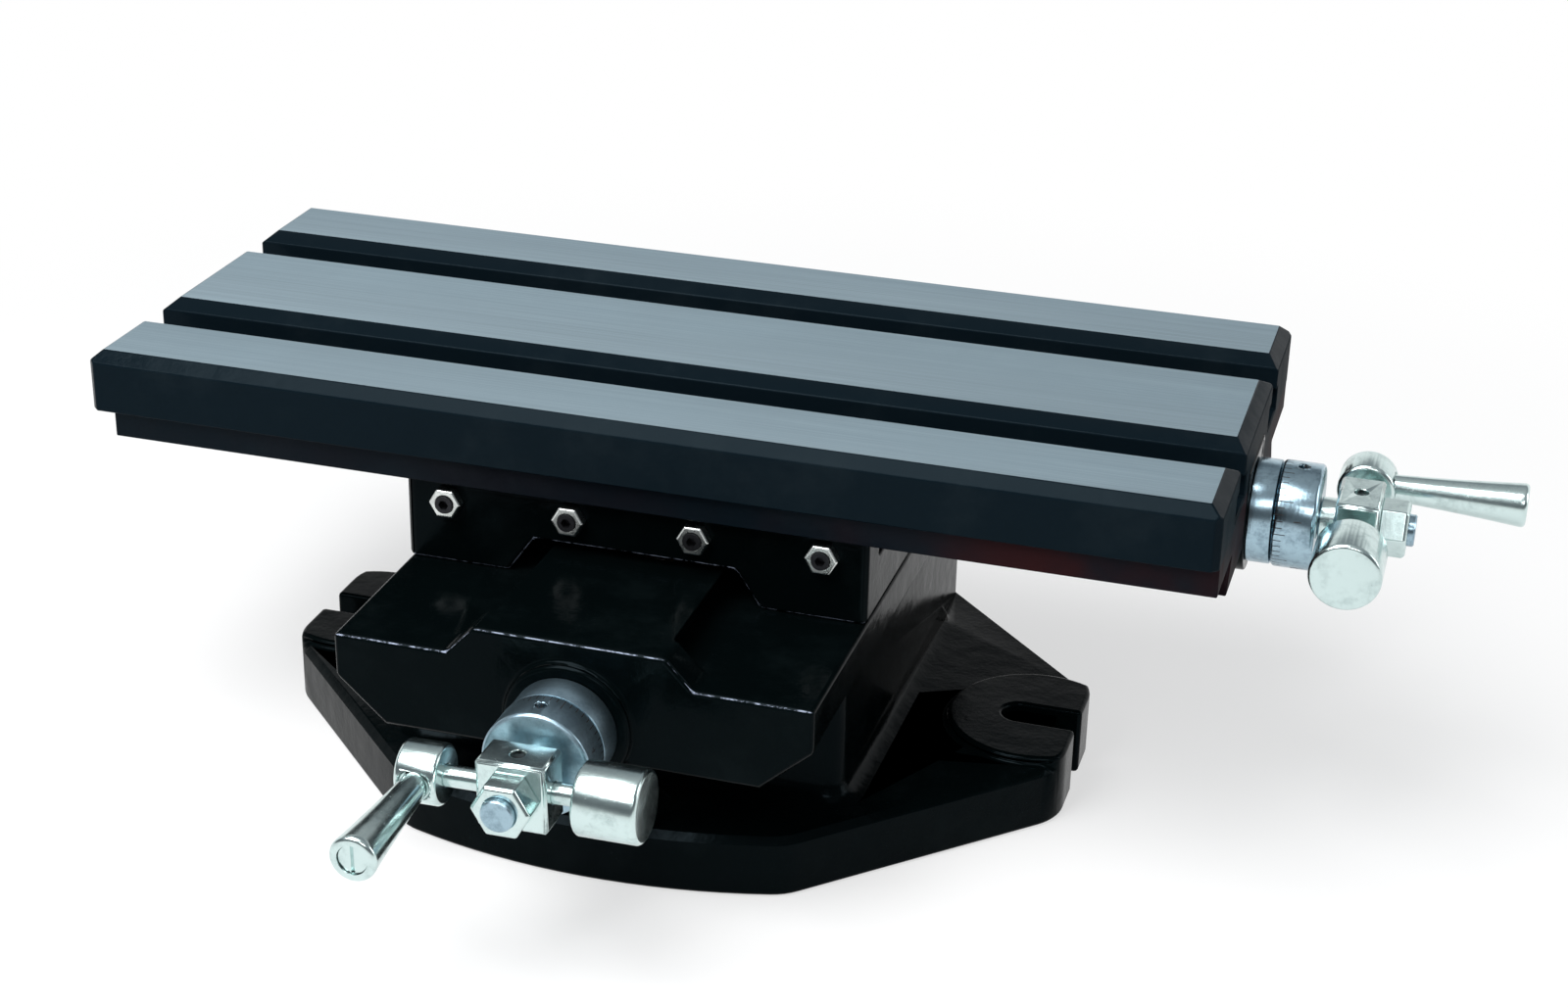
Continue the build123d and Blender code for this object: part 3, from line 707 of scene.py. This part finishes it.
def finish_mesh(
    name: str, shell: bmesh.types.BMesh, material: bpy.types.Material, sharp: float
) -> bpy.types.Object:
    """Make a smooth-shaded object of a bmesh, sharp only at steep edges.

    Args:
        name: The piece's name.
        shell: Its surface, which is freed.
        material: Its finish.
        sharp: Edges steeper than this angle, in degrees, stay sharp.

    Returns:
        The new object.
    """
    mesh = bpy.data.meshes.new(name)
    shell.to_mesh(mesh)
    shell.free()
    mesh.materials.clear()
    mesh.materials.append(material)
    mesh.polygons.foreach_set("use_smooth", np.ones(len(mesh.polygons), dtype=bool))
    mesh.set_sharp_from_angle(angle=math.radians(sharp))
    piece = bpy.data.objects.new(name, mesh)
    bpy.context.scene.collection.objects.link(piece)
    return piece


def grid_piece(name: str, points: Array, material: bpy.types.Material) -> bpy.types.Object:
    """Make a closed smooth piece from a grid of points.

    The grid has one row for each step along the profile and one column for each step round it,
    and the columns close on themselves. Each square of neighbours is one face. Where a row
    shrinks to one point, or the last row meets the first, the points are joined.

    Args:
        name: The piece's name.
        points: Rows by columns by three.
        material: Its finish.

    Returns:
        The new object.
    """
    rows, columns = points.shape[:2]
    row, column = np.meshgrid(np.arange(rows - 1), np.arange(columns), indexing="ij")
    after = (column + 1) % columns
    faces = np.stack(
        [row * columns + column, row * columns + after,
         (row + 1) * columns + after, (row + 1) * columns + column], axis=-1
    ).reshape(-1, 4)
    mesh = bpy.data.meshes.new(f"{name}_grid")
    mesh.from_pydata(points.reshape(-1, 3).tolist(), [], faces.tolist())
    shell = bmesh.new()
    shell.from_mesh(mesh)
    bpy.data.meshes.remove(mesh)
    bmesh.ops.remove_doubles(shell, verts=shell.verts, dist=NEW_MERGE)
    bmesh.ops.recalc_face_normals(shell, faces=shell.faces)
    return finish_mesh(name, shell, material, TURNED_SHARP)


def mark_edges(shell: bmesh.types.BMesh, steep: float, spared: tuple[Sphere, ...]) -> None:
    """Mark for rounding each steep edge that has no end within a spared sphere.

    Args:
        shell: The surface.
        steep: The least angle, in degrees, of an edge to be rounded.
        spared: Spheres where edges lie too close together to be rounded.
    """
    weight = shell.edges.layers.float.new("bevel_weight_edge")
    for edge in shell.edges:
        near = any(
            (vertex.co - Vector(centre)).length < radius
            for centre, radius in spared for vertex in edge.verts
        )
        edge[weight] = float(edge.calc_face_angle(0.0) > math.radians(steep) and not near)


def rounded_copy(
    node: str, body: str, slot: str, material: bpy.types.Material, edge: float,
    steep: float = 38.0, spared: tuple[Sphere, ...] = (),
) -> None:
    """Put a copy of a node with rounded edges in the node's place.

    Args:
        node: The CAD node.
        body: The body that it rides on.
        slot: Not used; it is only passed on.
        material: Its finish.
        edge: The rounding's width in metres.
        steep: The least angle, in degrees, of an edge to be rounded.
        spared: Spheres whose edges stay as they are.
    """
    shell = bmesh.new()
    shell.from_mesh(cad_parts[node].data)
    bmesh.ops.remove_doubles(shell, verts=shell.verts, dist=CAD_MERGE)
    bmesh.ops.dissolve_limit(
        shell, angle_limit=math.radians(FLAT_ANGLE), verts=shell.verts, edges=shell.edges
    )
    mark_edges(shell, steep, spared)
    piece = finish_mesh(f"{node}_rounded", shell, material, ROUNDED_SHARP)
    bevel = piece.modifiers.new("rounding", "BEVEL")
    bevel.width = edge
    bevel.segments = ROUNDING_SEGMENTS
    bevel.use_clamp_overlap = False
    bevel.limit_method = "WEIGHT"
    bevel.harden_normals = True
    bevel.miter_outer = "MITER_ARC"
    stand(piece, body, slot, node)


@dataclass(frozen=True)
class Spool:
    """The frame of a screw: a point on its axis, the way out, and the way of the crank's arm."""

    origin: Point
    out: Point
    arm: Point

    def points(self, x: Array, y: Array, z: Array) -> Array:
        """Points in the scene.

        Args:
            x: Distances along the arm.
            y: Distances at a right angle to the arm and the screw.
            z: Distances out along the screw.

        Returns:
            One more axis than the distances have, of three.
        """
        arm, out = np.array(self.arm), np.array(self.out)
        up = np.cross(out, arm)
        return (
            np.array(self.origin)
            + x[..., None] * arm + y[..., None] * up + z[..., None] * out
        )

    def span(self, node: str) -> Range:
        """Where a CAD node starts and ends along the screw."""
        places = sorted(float(np.dot(corner, self.out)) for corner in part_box(node))
        return places[0], places[1]

    def turned(self, profile: Array, segments: int, reach: float = 0.0) -> Array:
        """Points of a profile turned about a line along the screw.

        Each profile point has a radius r and a distance z. At the angle a it lies at
        (reach + r cos a, r sin a, z).

        Args:
            profile: One (radius, distance) row for each point.
            segments: Steps in a full turn.
            reach: Distance of the line from the screw's own axis, along the arm.

        Returns:
            Rows by segments by three.
        """
        angle = np.arange(segments) * (math.tau / segments)
        radius, distance = profile[:, :1], profile[:, 1:2]
        return self.points(
            reach + radius * np.cos(angle), radius * np.sin(angle), distance + 0.0 * angle
        )


@dataclass(frozen=True)
class Thread:
    """A trapezoidal thread."""

    crest: float
    depth: float
    pitch: float
    hand: float
    stations: tuple[float, ...] = (0.0, 0.37, 0.50, 0.87, 1.0)
    depths: tuple[float, ...] = (0.0, 0.0, 1.0, 1.0, 0.0)

    def radius(self, distance: Array, angle: Array, start: float, end: float) -> Array:
        """Radius of the threaded surface.

        The turns counted off along the helix are distance / pitch less hand * angle / tau, and
        their fraction runs over the crest, down one flank, over the root and up the other. The
        groove fades in over the first pitch and out over the last.

        Args:
            distance: Places along the screw.
            angle: Angles round it.
            start: Where the thread begins.
            end: Where it ends.

        Returns:
            One radius for each place and angle.
        """
        turns = distance / self.pitch - self.hand * angle / math.tau
        groove = np.interp(turns % 1.0, self.stations, self.depths)
        fade = np.clip(np.minimum(distance - start, end - distance) / self.pitch, 0.0, 1.0)
        return self.crest - self.depth * groove * fade


@dataclass(frozen=True)
class GripShape:
    """The outline of a tapered grip with a rounded end and a recess for its spindle's head."""

    root: float = 0.0060
    tip: float = 0.0098
    bore: float = 0.00405
    recess: float = 0.0063
    recess_depth: float = 0.0045
    rim: float = 0.0020
    swell: float = 1.1
    waist: float = 0.00025
    flank_steps: int = 40
    rim_steps: int = 9

    def profile(self, start: float, end: float) -> Array:
        """Outline from the root round the end and back through the bore.

        From the root to the tip the radius grows by the share s of the length to the power of
        the swell, less the waist times the sine of pi times s. A quarter circle rounds the end.

        Args:
            start: Where the grip starts along its axis.
            end: Where it ends.

        Returns:
            One (radius, distance) row for each point.
        """
        share = np.linspace(0.0, 1.0, self.flank_steps)
        flank = self.root + (self.tip - self.root) * share ** self.swell
        flank = flank - self.waist * np.sin(math.pi * share)
        turn = np.linspace(0.0, math.pi / 2, self.rim_steps)[1:]
        tip, rim, floor = self.tip, self.rim, end - self.recess_depth
        return np.concatenate([
            np.stack([flank, start + share * (end - rim - start)], axis=1),
            np.stack([tip - rim + rim * np.cos(turn), end - rim + rim * np.sin(turn)], axis=1),
            [(self.recess, end), (self.recess, floor), (self.bore, floor)],
            [(self.bore, start), (self.root, start)],
        ])


@dataclass
class Castings:
    """The three castings and the two end plates."""

    edge: float = 0.0021
    table_edge: float = 0.0007
    plate_edge: float = 0.0008
    base_steep: float = 46.0
    # Width of the painted highlight along the base's front edge
    base_wear: float = 0.0009
    skirt_height: float = 0.013
    slide_gap: float = 0.0001
    web_top: float = 0.042
    web_bottom: float = 0.054
    arch_room: float = 0.004
    arch_rise: float = 0.017
    boss_length: float = 0.004
    # Where the base's edges lie too close together: a rear corner of the body at the foot, the
    # cove's rear end, and the sleeve's bore at the tunnel's roof. The left mirrors these.
    crowded: tuple[Sphere, ...] = (
        ((0.0970, 0.1200, 0.0280), 0.012),
        ((0.1020, 0.0885, 0.0300), 0.010),
        ((0.0050, -0.1410, 0.0940), 0.006),
    )

    def finishes(self) -> tuple[bpy.types.Material, ...]:
        """Make the castings' materials.

        Returns:
            Ground lands for the table, and enamel worn along one front edge for the base and
            the saddle.
        """
        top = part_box("table_casting")[1][2]
        low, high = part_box("saddle_casting")
        table = GroundTable(top, high[2] + self.skirt_height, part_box("table_casting")[1][0])
        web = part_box("base_casting")[1][2]
        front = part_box("base_casting")[0][1] + self.boss_length
        # Painted highlights along the front edges of the base's slab and the saddle's arch
        slab = WornEdge(
            front, web, low[2] - self.slide_gap, self.web_top, self.web_bottom, self.base_wear
        )
        arch = WornEdge(
            low[1], low[2] + self.arch_rise, low[2],
            self.web_top + self.arch_room, self.web_bottom + self.arch_room,
        )
        return (
            table.material(),
            CastPaint("base_enamel", worn=slab).material(),
            CastPaint("saddle_enamel", worn=arch).material(),
        )

    def build(self) -> None:
        """Round and dress the castings."""
        table, base, saddle = self.finishes()
        paint = CastPaint().material()
        spared = tuple(
            ((side * x, y, z), radius)
            for side in (-1.0, 1.0) for (x, y, z), radius in self.crowded
        )
        slot = "black_paint"
        rounded_copy("base_casting", "base", slot, base, self.edge, self.base_steep, spared)
        rounded_copy("saddle_casting", "saddle", slot, saddle, self.edge)
        rounded_copy("table_casting", "table", slot, table, self.table_edge)
        for node in ("bearing_plate", "tail_plate"):
            rounded_copy(node, "table", slot, paint, self.plate_edge)


@dataclass
class SlideFittings:
    """Gibs, lead nuts and all the small screws."""

    nut_edge: float = 0.0004

    def build(self) -> None:
        """Dress the fittings."""
        strip = PlainMetal("gib_steel", (0.42, 0.42, 0.41), gloss=0.30).material()
        bronze = PlainMetal("lead_nut_bronze", (0.55, 0.36, 0.15), gloss=0.30).material()
        oxide = PlainMetal(
            "black_oxide", (0.030, 0.031, 0.035), gloss=0.32, metallic=0.85
        ).material()
        bright = PlainMetal("bright_nut_steel", (0.80, 0.84, 0.82), gloss=0.18).material()
        for finish, nodes in (
            (strip, ("long_gib", "cross_gib")),
            (bronze, ("long_nut", "cross_nut")),
            (oxide, (
                "long_gib_screws", "cross_gib_screws", "bearing_plate_bolts", "tail_plate_bolts",
                "long_nut_screws", "cross_nut_screws", "long_dial_screw", "cross_dial_screw",
                "long_hub_screw", "cross_hub_screw",
            )),
        ):
            for node in nodes:
                dress_node(node, finish)
        for node in ("long_gib_nuts", "cross_gib_nuts"):
            rounded_copy(node, "saddle", "bright_steel", bright, self.nut_edge)


@dataclass
class Crank:
    """One lead screw with its sleeve, dial, crank and grip."""

    name: str
    along: Along
    tilt: float
    hand: float
    tail_length: float
    spigot_length: float
    gloss: float
    pitch: float = 0.005
    crest: float = 0.0075
    thread_depth: float = 0.0019
    steps_in_pitch: int = 14
    journal: float = 0.0070
    tail: float = 0.0050
    collar: float = 0.0082
    collar_length: float = 0.006
    spigot: float = 0.013
    gap: float = 0.0003
    running_gap: float = 0.00005
    edge: float = 0.0006
    edge_share: float = 0.3
    screw_segments: int = 48
    sleeve_segments: int = 128
    grip_segments: int = 96
    numeral_count: int = 5
    numeral_height: float = 0.0034
    numeral_height_share: float = 0.7
    numeral_depth: float = 0.00006
    numeral_start: float = 0.0090

    def spool(self) -> Spool:
        """Find the screw's own frame.

        Returns:
            The frame, on the axis of its sleeve.
        """
        low, high = (np.array(corner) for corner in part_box(f"{self.name}_sleeve"))
        centre = (low + high) / 2
        centre[self.along.axis] = 0.0
        flat, rise = math.cos(self.tilt), math.sin(self.tilt)
        if self.along is Along.X:
            return Spool(tuple(centre), (1.0, 0.0, 0.0), (0.0, flat, rise))
        return Spool(tuple(centre), (0.0, -1.0, 0.0), (flat, 0.0, rise))

    def screw(self, spool: Spool, material: bpy.types.Material) -> None:
        """Turn the screw with its thread, in place of the plain one.

        Args:
            spool: The screw's frame.
            material: Its finish.
        """
        node = f"{self.name}_screw"
        start, end = spool.span(node)
        shoulder = spool.span(f"{self.name}_sleeve")[0] - self.gap
        thread = Thread(self.crest, self.thread_depth, self.pitch, self.hand)
        first = start + self.tail_length + self.gap
        last = shoulder - self.collar_length
        count = int((last - first) / self.pitch * self.steps_in_pitch)
        distance = np.linspace(first, last, count)
        angle = np.arange(self.screw_segments) * (math.tau / self.screw_segments)
        radius = thread.radius(distance[:, None], angle[None, :], first, last)
        threaded = spool.points(
            radius * np.cos(angle), radius * np.sin(angle), distance[:, None] + 0.0 * angle
        )
        back = np.array([(0.0, start), (self.tail, start), (self.tail, first)])
        front = np.array([
            (self.collar, last), (self.collar, shoulder), (self.journal, shoulder),
            (self.journal, end - self.edge), (self.journal - self.edge, end), (0.0, end),
        ])
        points = np.concatenate([
            spool.turned(back, self.screw_segments), threaded,
            spool.turned(front, self.screw_segments),
        ])
        piece = grid_piece(f"{node}_threaded", points, material)
        stand(piece, f"{self.name}_crank", "turned_steel", node)

    def grip(self, spool: Spool, material: bpy.types.Material) -> None:
        """Turn the tapered grip, in place of the plain one.

        Args:
            spool: The screw's frame.
            material: The grip's finish.
        """
        node = f"{self.name}_grip"
        start, end = spool.span(node)
        low, high = (np.array(corner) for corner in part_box(node))
        reach = float(np.dot((low + high) / 2 - np.array(spool.origin), spool.arm))
        points = spool.turned(GripShape().profile(start, end), self.grip_segments, reach)
        piece = grid_piece(f"{node}_turned", points, material)
        stand(piece, f"{self.name}_handle", "bright_chrome", node)

    def sleeve(self, spool: Spool, material: bpy.types.Material) -> None:
        """Turn the bearing sleeve with rounded rims, in place of the plain one.

        Args:
            spool: The screw's frame.
            material: The sleeve's finish.
        """
        node = f"{self.name}_sleeve"
        start, end = spool.span(node)
        low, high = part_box(node)
        flange = (high[2] - low[2]) / 2
        bore = self.journal + self.running_gap
        face = start + self.spigot_length
        edge, part = self.edge, self.edge_share * self.edge
        profile = np.array([
            (bore, start), (self.spigot, start), (self.spigot, face), (flange - edge, face),
            (flange, face + edge), (flange, end - edge), (flange - part, end - part),
            (flange - edge, end), (bore, end), (bore, start),
        ])
        points = spool.turned(profile, self.sleeve_segments)
        piece = grid_piece(f"{node}_turned", points, material)
        stand(piece, "table" if self.along is Along.X else "base", "turned_steel", node)

    def flat_numeral(self, number: int) -> bpy.types.Mesh:
        """Write a numeral flat.

        Args:
            number: The number.

        Returns:
            Its mesh, centred on its own foot.
        """
        curve = bpy.data.curves.new("numeral", "FONT")
        curve.body = str(number)
        curve.align_x = "CENTER"
        curve.size = self.numeral_height / self.numeral_height_share
        curve.extrude = self.numeral_depth / 2
        holder = bpy.data.objects.new("numeral", curve)
        flat = bpy.data.meshes.new_from_object(holder)
        bpy.data.objects.remove(holder)
        bpy.data.curves.remove(curve)
        return flat

    def numerals(self, spool: Spool, radius: float) -> None:
        """Fill plain numerals into the dial at its long marks.

        Each flat numeral is bent round the dial: its x over the radius becomes an angle, its y
        a distance along the screw, and its thickness stands out from the surface.

        Args:
            spool: The screw's frame.
            radius: The dial's radius.
        """
        start = spool.span(f"{self.name}_dial")[0]
        ink = PlainMetal(
            f"{self.name}_dial_ink", (0.010, 0.010, 0.011), gloss=0.45, metallic=0.0
        ).material()
        shell = bmesh.new()
        for number in range(self.numeral_count):
            flat = self.flat_numeral(number)
            place = np.empty(3 * len(flat.vertices))
            flat.vertices.foreach_get("co", place)
            x, y, z = place.reshape(-1, 3).T
            angle = math.tau * number / self.numeral_count + math.pi / 2 - x / radius
            stand_out = radius + z + self.numeral_depth / 2
            bent = spool.points(
                stand_out * np.cos(angle), stand_out * np.sin(angle),
                start + self.numeral_start + y,
            )
            flat.vertices.foreach_set("co", bent.reshape(-1))
            shell.from_mesh(flat)
            bpy.data.meshes.remove(flat)
        bmesh.ops.remove_doubles(shell, verts=shell.verts, dist=NEW_MERGE)
        bmesh.ops.recalc_face_normals(shell, faces=shell.faces)
        piece = finish_mesh(f"{self.name}_dial_numerals", shell, ink, NUMERAL_SHARP)
        stand(piece, f"{self.name}_crank", "satin_chrome")

    def build(self) -> None:
        """Turn, round and dress the crank's pieces."""
        spool = self.spool()
        body = f"{self.name}_crank"
        steel = TurnedSteel(f"{self.name}_turned_steel", self.along, self.gloss).material()
        low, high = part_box(f"{self.name}_dial")
        edge = low[self.along.axis] if self.along.outward > 0 else high[self.along.axis]
        radius = (high[2] - low[2]) / 2
        dial_steel = TurnedSteel(f"{self.name}_dial_steel", self.along, self.gloss)
        dial = GraduatedSteel(dial_steel, spool.origin, edge, radius).material()
        plating = Plating(f"{self.name}_plating").material()
        self.screw(spool, steel)
        self.sleeve(spool, steel)
        self.grip(spool, plating)
        self.numerals(spool, radius)
        rounded_copy(f"{self.name}_dial", body, "satin_chrome", dial, self.edge)
        for part in ("crank_hub", "crank_nut", "grip_drum", "counterweight"):
            rounded_copy(f"{self.name}_{part}", body, "bright_chrome", plating, self.edge)
        for part in ("crank_rods", "grip_spindle"):
            dress_node(f"{self.name}_{part}", plating)


def shown(graph: Graph) -> Term:
    """Tell the rays that show a backdrop: seen directly, in a gloss or through glass.

    Args:
        graph: The node tree of the backdrop.

    Returns:
        One for those rays, zero for the rest.
    """
    seen, gloss, through = (
        graph.make("ShaderNodeLightPath", output=f"Is {kind} Ray")
        for kind in ("Camera", "Glossy", "Transmission")
    )
    return seen.most(gloss).most(through)


@dataclass(frozen=True)
class Lamp:
    """A rectangular soft light that faces a target; sizes in metres, power in watts."""

    name: str
    place: Point
    size: Range
    power: float

    def hang(self, target: Point) -> None:
        """Hang the lamp.

        Args:
            target: The point that it faces.
        """
        data = bpy.data.lights.new(self.name, "AREA")
        data.shape = "RECTANGLE"
        data.size, data.size_y = self.size
        data.energy = self.power
        lamp = bpy.data.objects.new(self.name, data)
        bpy.context.scene.collection.objects.link(lamp)
        away = np.array(self.place) - np.array(target)
        away = away / np.linalg.norm(away)
        side = np.cross((0.0, 0.0, 1.0), away)
        side = side / np.linalg.norm(side)
        matrix = np.eye(4)
        matrix[:3, :3] = np.array([side, np.cross(away, side), away]).T
        matrix[:3, 3] = self.place
        lamp.matrix_world = Matrix(matrix.tolist())


@dataclass
class Studio:
    """Floor, soft light and the camera."""

    eye: Point = (0.35483, -1.06604, 0.63226)
    right: Point = (0.95717, 0.28879, 0.02066)
    up: Point = (-0.13913, 0.39619, 0.90757)
    back: Point = (0.25391, -0.87157, 0.41940)
    lens: float = 61.80
    sensor: float = 36.0
    clip: Range = (0.01, 50.0)
    floor_half: float = 6.0
    floor_drop: float = 0.0002
    floor_tone: Colour = (0.86, 0.86, 0.86)
    shadow_radius: float = 0.30
    white_radius: float = 0.85
    least_glow: float = 0.60
    target: Point = (0.0, 0.0, 0.1)
    lamps: tuple[Lamp, ...] = (
        Lamp("key", (-0.48, -0.75, 1.60), (1.1, 1.4), 44.0),
        Lamp("front", (0.7, -1.7, 1.5), (0.9, 0.5), 7.0),
        Lamp("side", (1.8, 0.3, 0.8), (0.7, 0.9), 5.0),
    )
    # From straight down at 0, over the horizon at 0.5, to straight up at 1
    bands: tuple[tuple[float, Colour], ...] = (
        (0.00, (0.30, 0.30, 0.30)), (0.50, (0.60, 0.60, 0.60)), (0.54, (0.16, 0.17, 0.18)),
        (0.66, (0.12, 0.13, 0.14)), (0.80, (0.22, 0.24, 0.26)), (1.00, (0.46, 0.47, 0.48)),
    )
    sweep_depth: Range = (-0.10, 0.30)
    sweep_rise: Range = (0.35, 0.62)

    def camera(self) -> None:
        """Stand the camera at the photograph's view."""
        data = bpy.data.cameras.new("camera")
        data.sensor_width = self.sensor
        data.sensor_fit = "HORIZONTAL"
        data.lens = self.lens
        data.clip_start, data.clip_end = self.clip
        camera = bpy.data.objects.new("camera", data)
        bpy.context.scene.collection.objects.link(camera)
        square, upper = np.linalg.qr(np.array([self.right, self.up, self.back]).T)
        matrix = np.eye(4)
        matrix[:3, :3] = square * np.sign(np.diag(upper))
        matrix[:3, 3] = self.eye
        camera.matrix_world = Matrix(matrix.tolist())
        bpy.context.scene.camera = camera

    def floor(self) -> None:
        """Lay a white floor that keeps the shadow."""
        mesh = bpy.data.meshes.new("floor")
        half, height = self.floor_half, -self.floor_drop
        corners = ((-half, -half), (half, -half), (half, half), (-half, half))
        mesh.from_pydata([(x, y, height) for x, y in corners], [], [(0, 1, 2, 3)])
        graph = Surface("white_floor")
        graph.set(Base_Color=self.floor_tone, Roughness=0.9, Specular_IOR_Level=0.0)
        glow = graph.make("ShaderNodeEmission", None, {"Color": (1.0, 1.0, 1.0), "Strength": 1.0})
        away = graph.make(
            "ShaderNodeVectorMath", {"operation": "LENGTH"}, {0: graph.place()}, "Value"
        )
        fade = (self.shadow_radius, self.white_radius, self.least_glow, 1.0)
        mixed = graph.make(
            "ShaderNodeMixShader", None,
            {0: shown(graph) * away.ramp(*fade), 1: Term(graph, graph.shader.outputs[0]), 2: glow},
        )
        output = graph.tree.nodes["Material Output"]
        graph.feed(output.inputs["Surface"], mixed)
        mesh.materials.append(graph.material)
        floor = bpy.data.objects.new("floor", mesh)
        bpy.context.scene.collection.objects.link(floor)

    def world(self) -> None:
        """White surroundings, which reflections show as bands, with a sweep behind the part."""
        world = bpy.data.worlds.new("studio")
        bpy.context.scene.world = world
        world.use_nodes = True
        graph = Graph(world.node_tree)
        _, depth, rise = graph.axes(graph.make("ShaderNodeTexCoord", output="Generated"))
        bands = graph.make("ShaderNodeValToRGB", None, {0: rise * 0.5 + 0.5})
        stops = bands.socket.node.color_ramp.elements
        while len(stops) < len(self.bands):
            stops.new(1.0)
        for stop, (place, colour) in zip(stops, self.bands):
            stop.position = place
            stop.color = (*colour, 1.0)
        camera_ray = graph.make("ShaderNodeLightPath", output="Is Camera Ray")
        behind = shown(graph) * depth.ramp(*self.sweep_depth)
        sweep = behind * rise.ramp(*self.sweep_rise, 1.0, 0.0)
        background = graph.tree.nodes["Background"]
        graph.feed(
            background.inputs["Color"],
            graph.blend(camera_ray.most(sweep), bands, (1.0, 1.0, 1.0)),
        )

    def build(self) -> None:
        """Set the stage."""
        self.camera()
        self.floor()
        self.world()
        for lamp in self.lamps:
            lamp.hang(self.target)
        bpy.context.scene.view_settings.view_transform = "Standard"


def main() -> None:
    """Build the sub-assemblies in order."""
    logging.basicConfig(level=logging.INFO, format="%(name)s: %(message)s")
    Castings().build()
    SlideFittings().build()
    inner, outer = (corner[0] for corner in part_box("bearing_plate"))
    plate = outer - inner
    Crank(
        "long", Along.X, tilt=math.radians(2.0), hand=1.0,
        tail_length=plate, spigot_length=plate, gloss=0.16,
    ).build()
    Crank(
        "cross", Along.Y, tilt=math.radians(1.0), hand=-1.0,
        tail_length=0.0255, spigot_length=0.022, gloss=0.30,
    ).build()
    Studio().build()


if __name__ == "__main__":
    main()
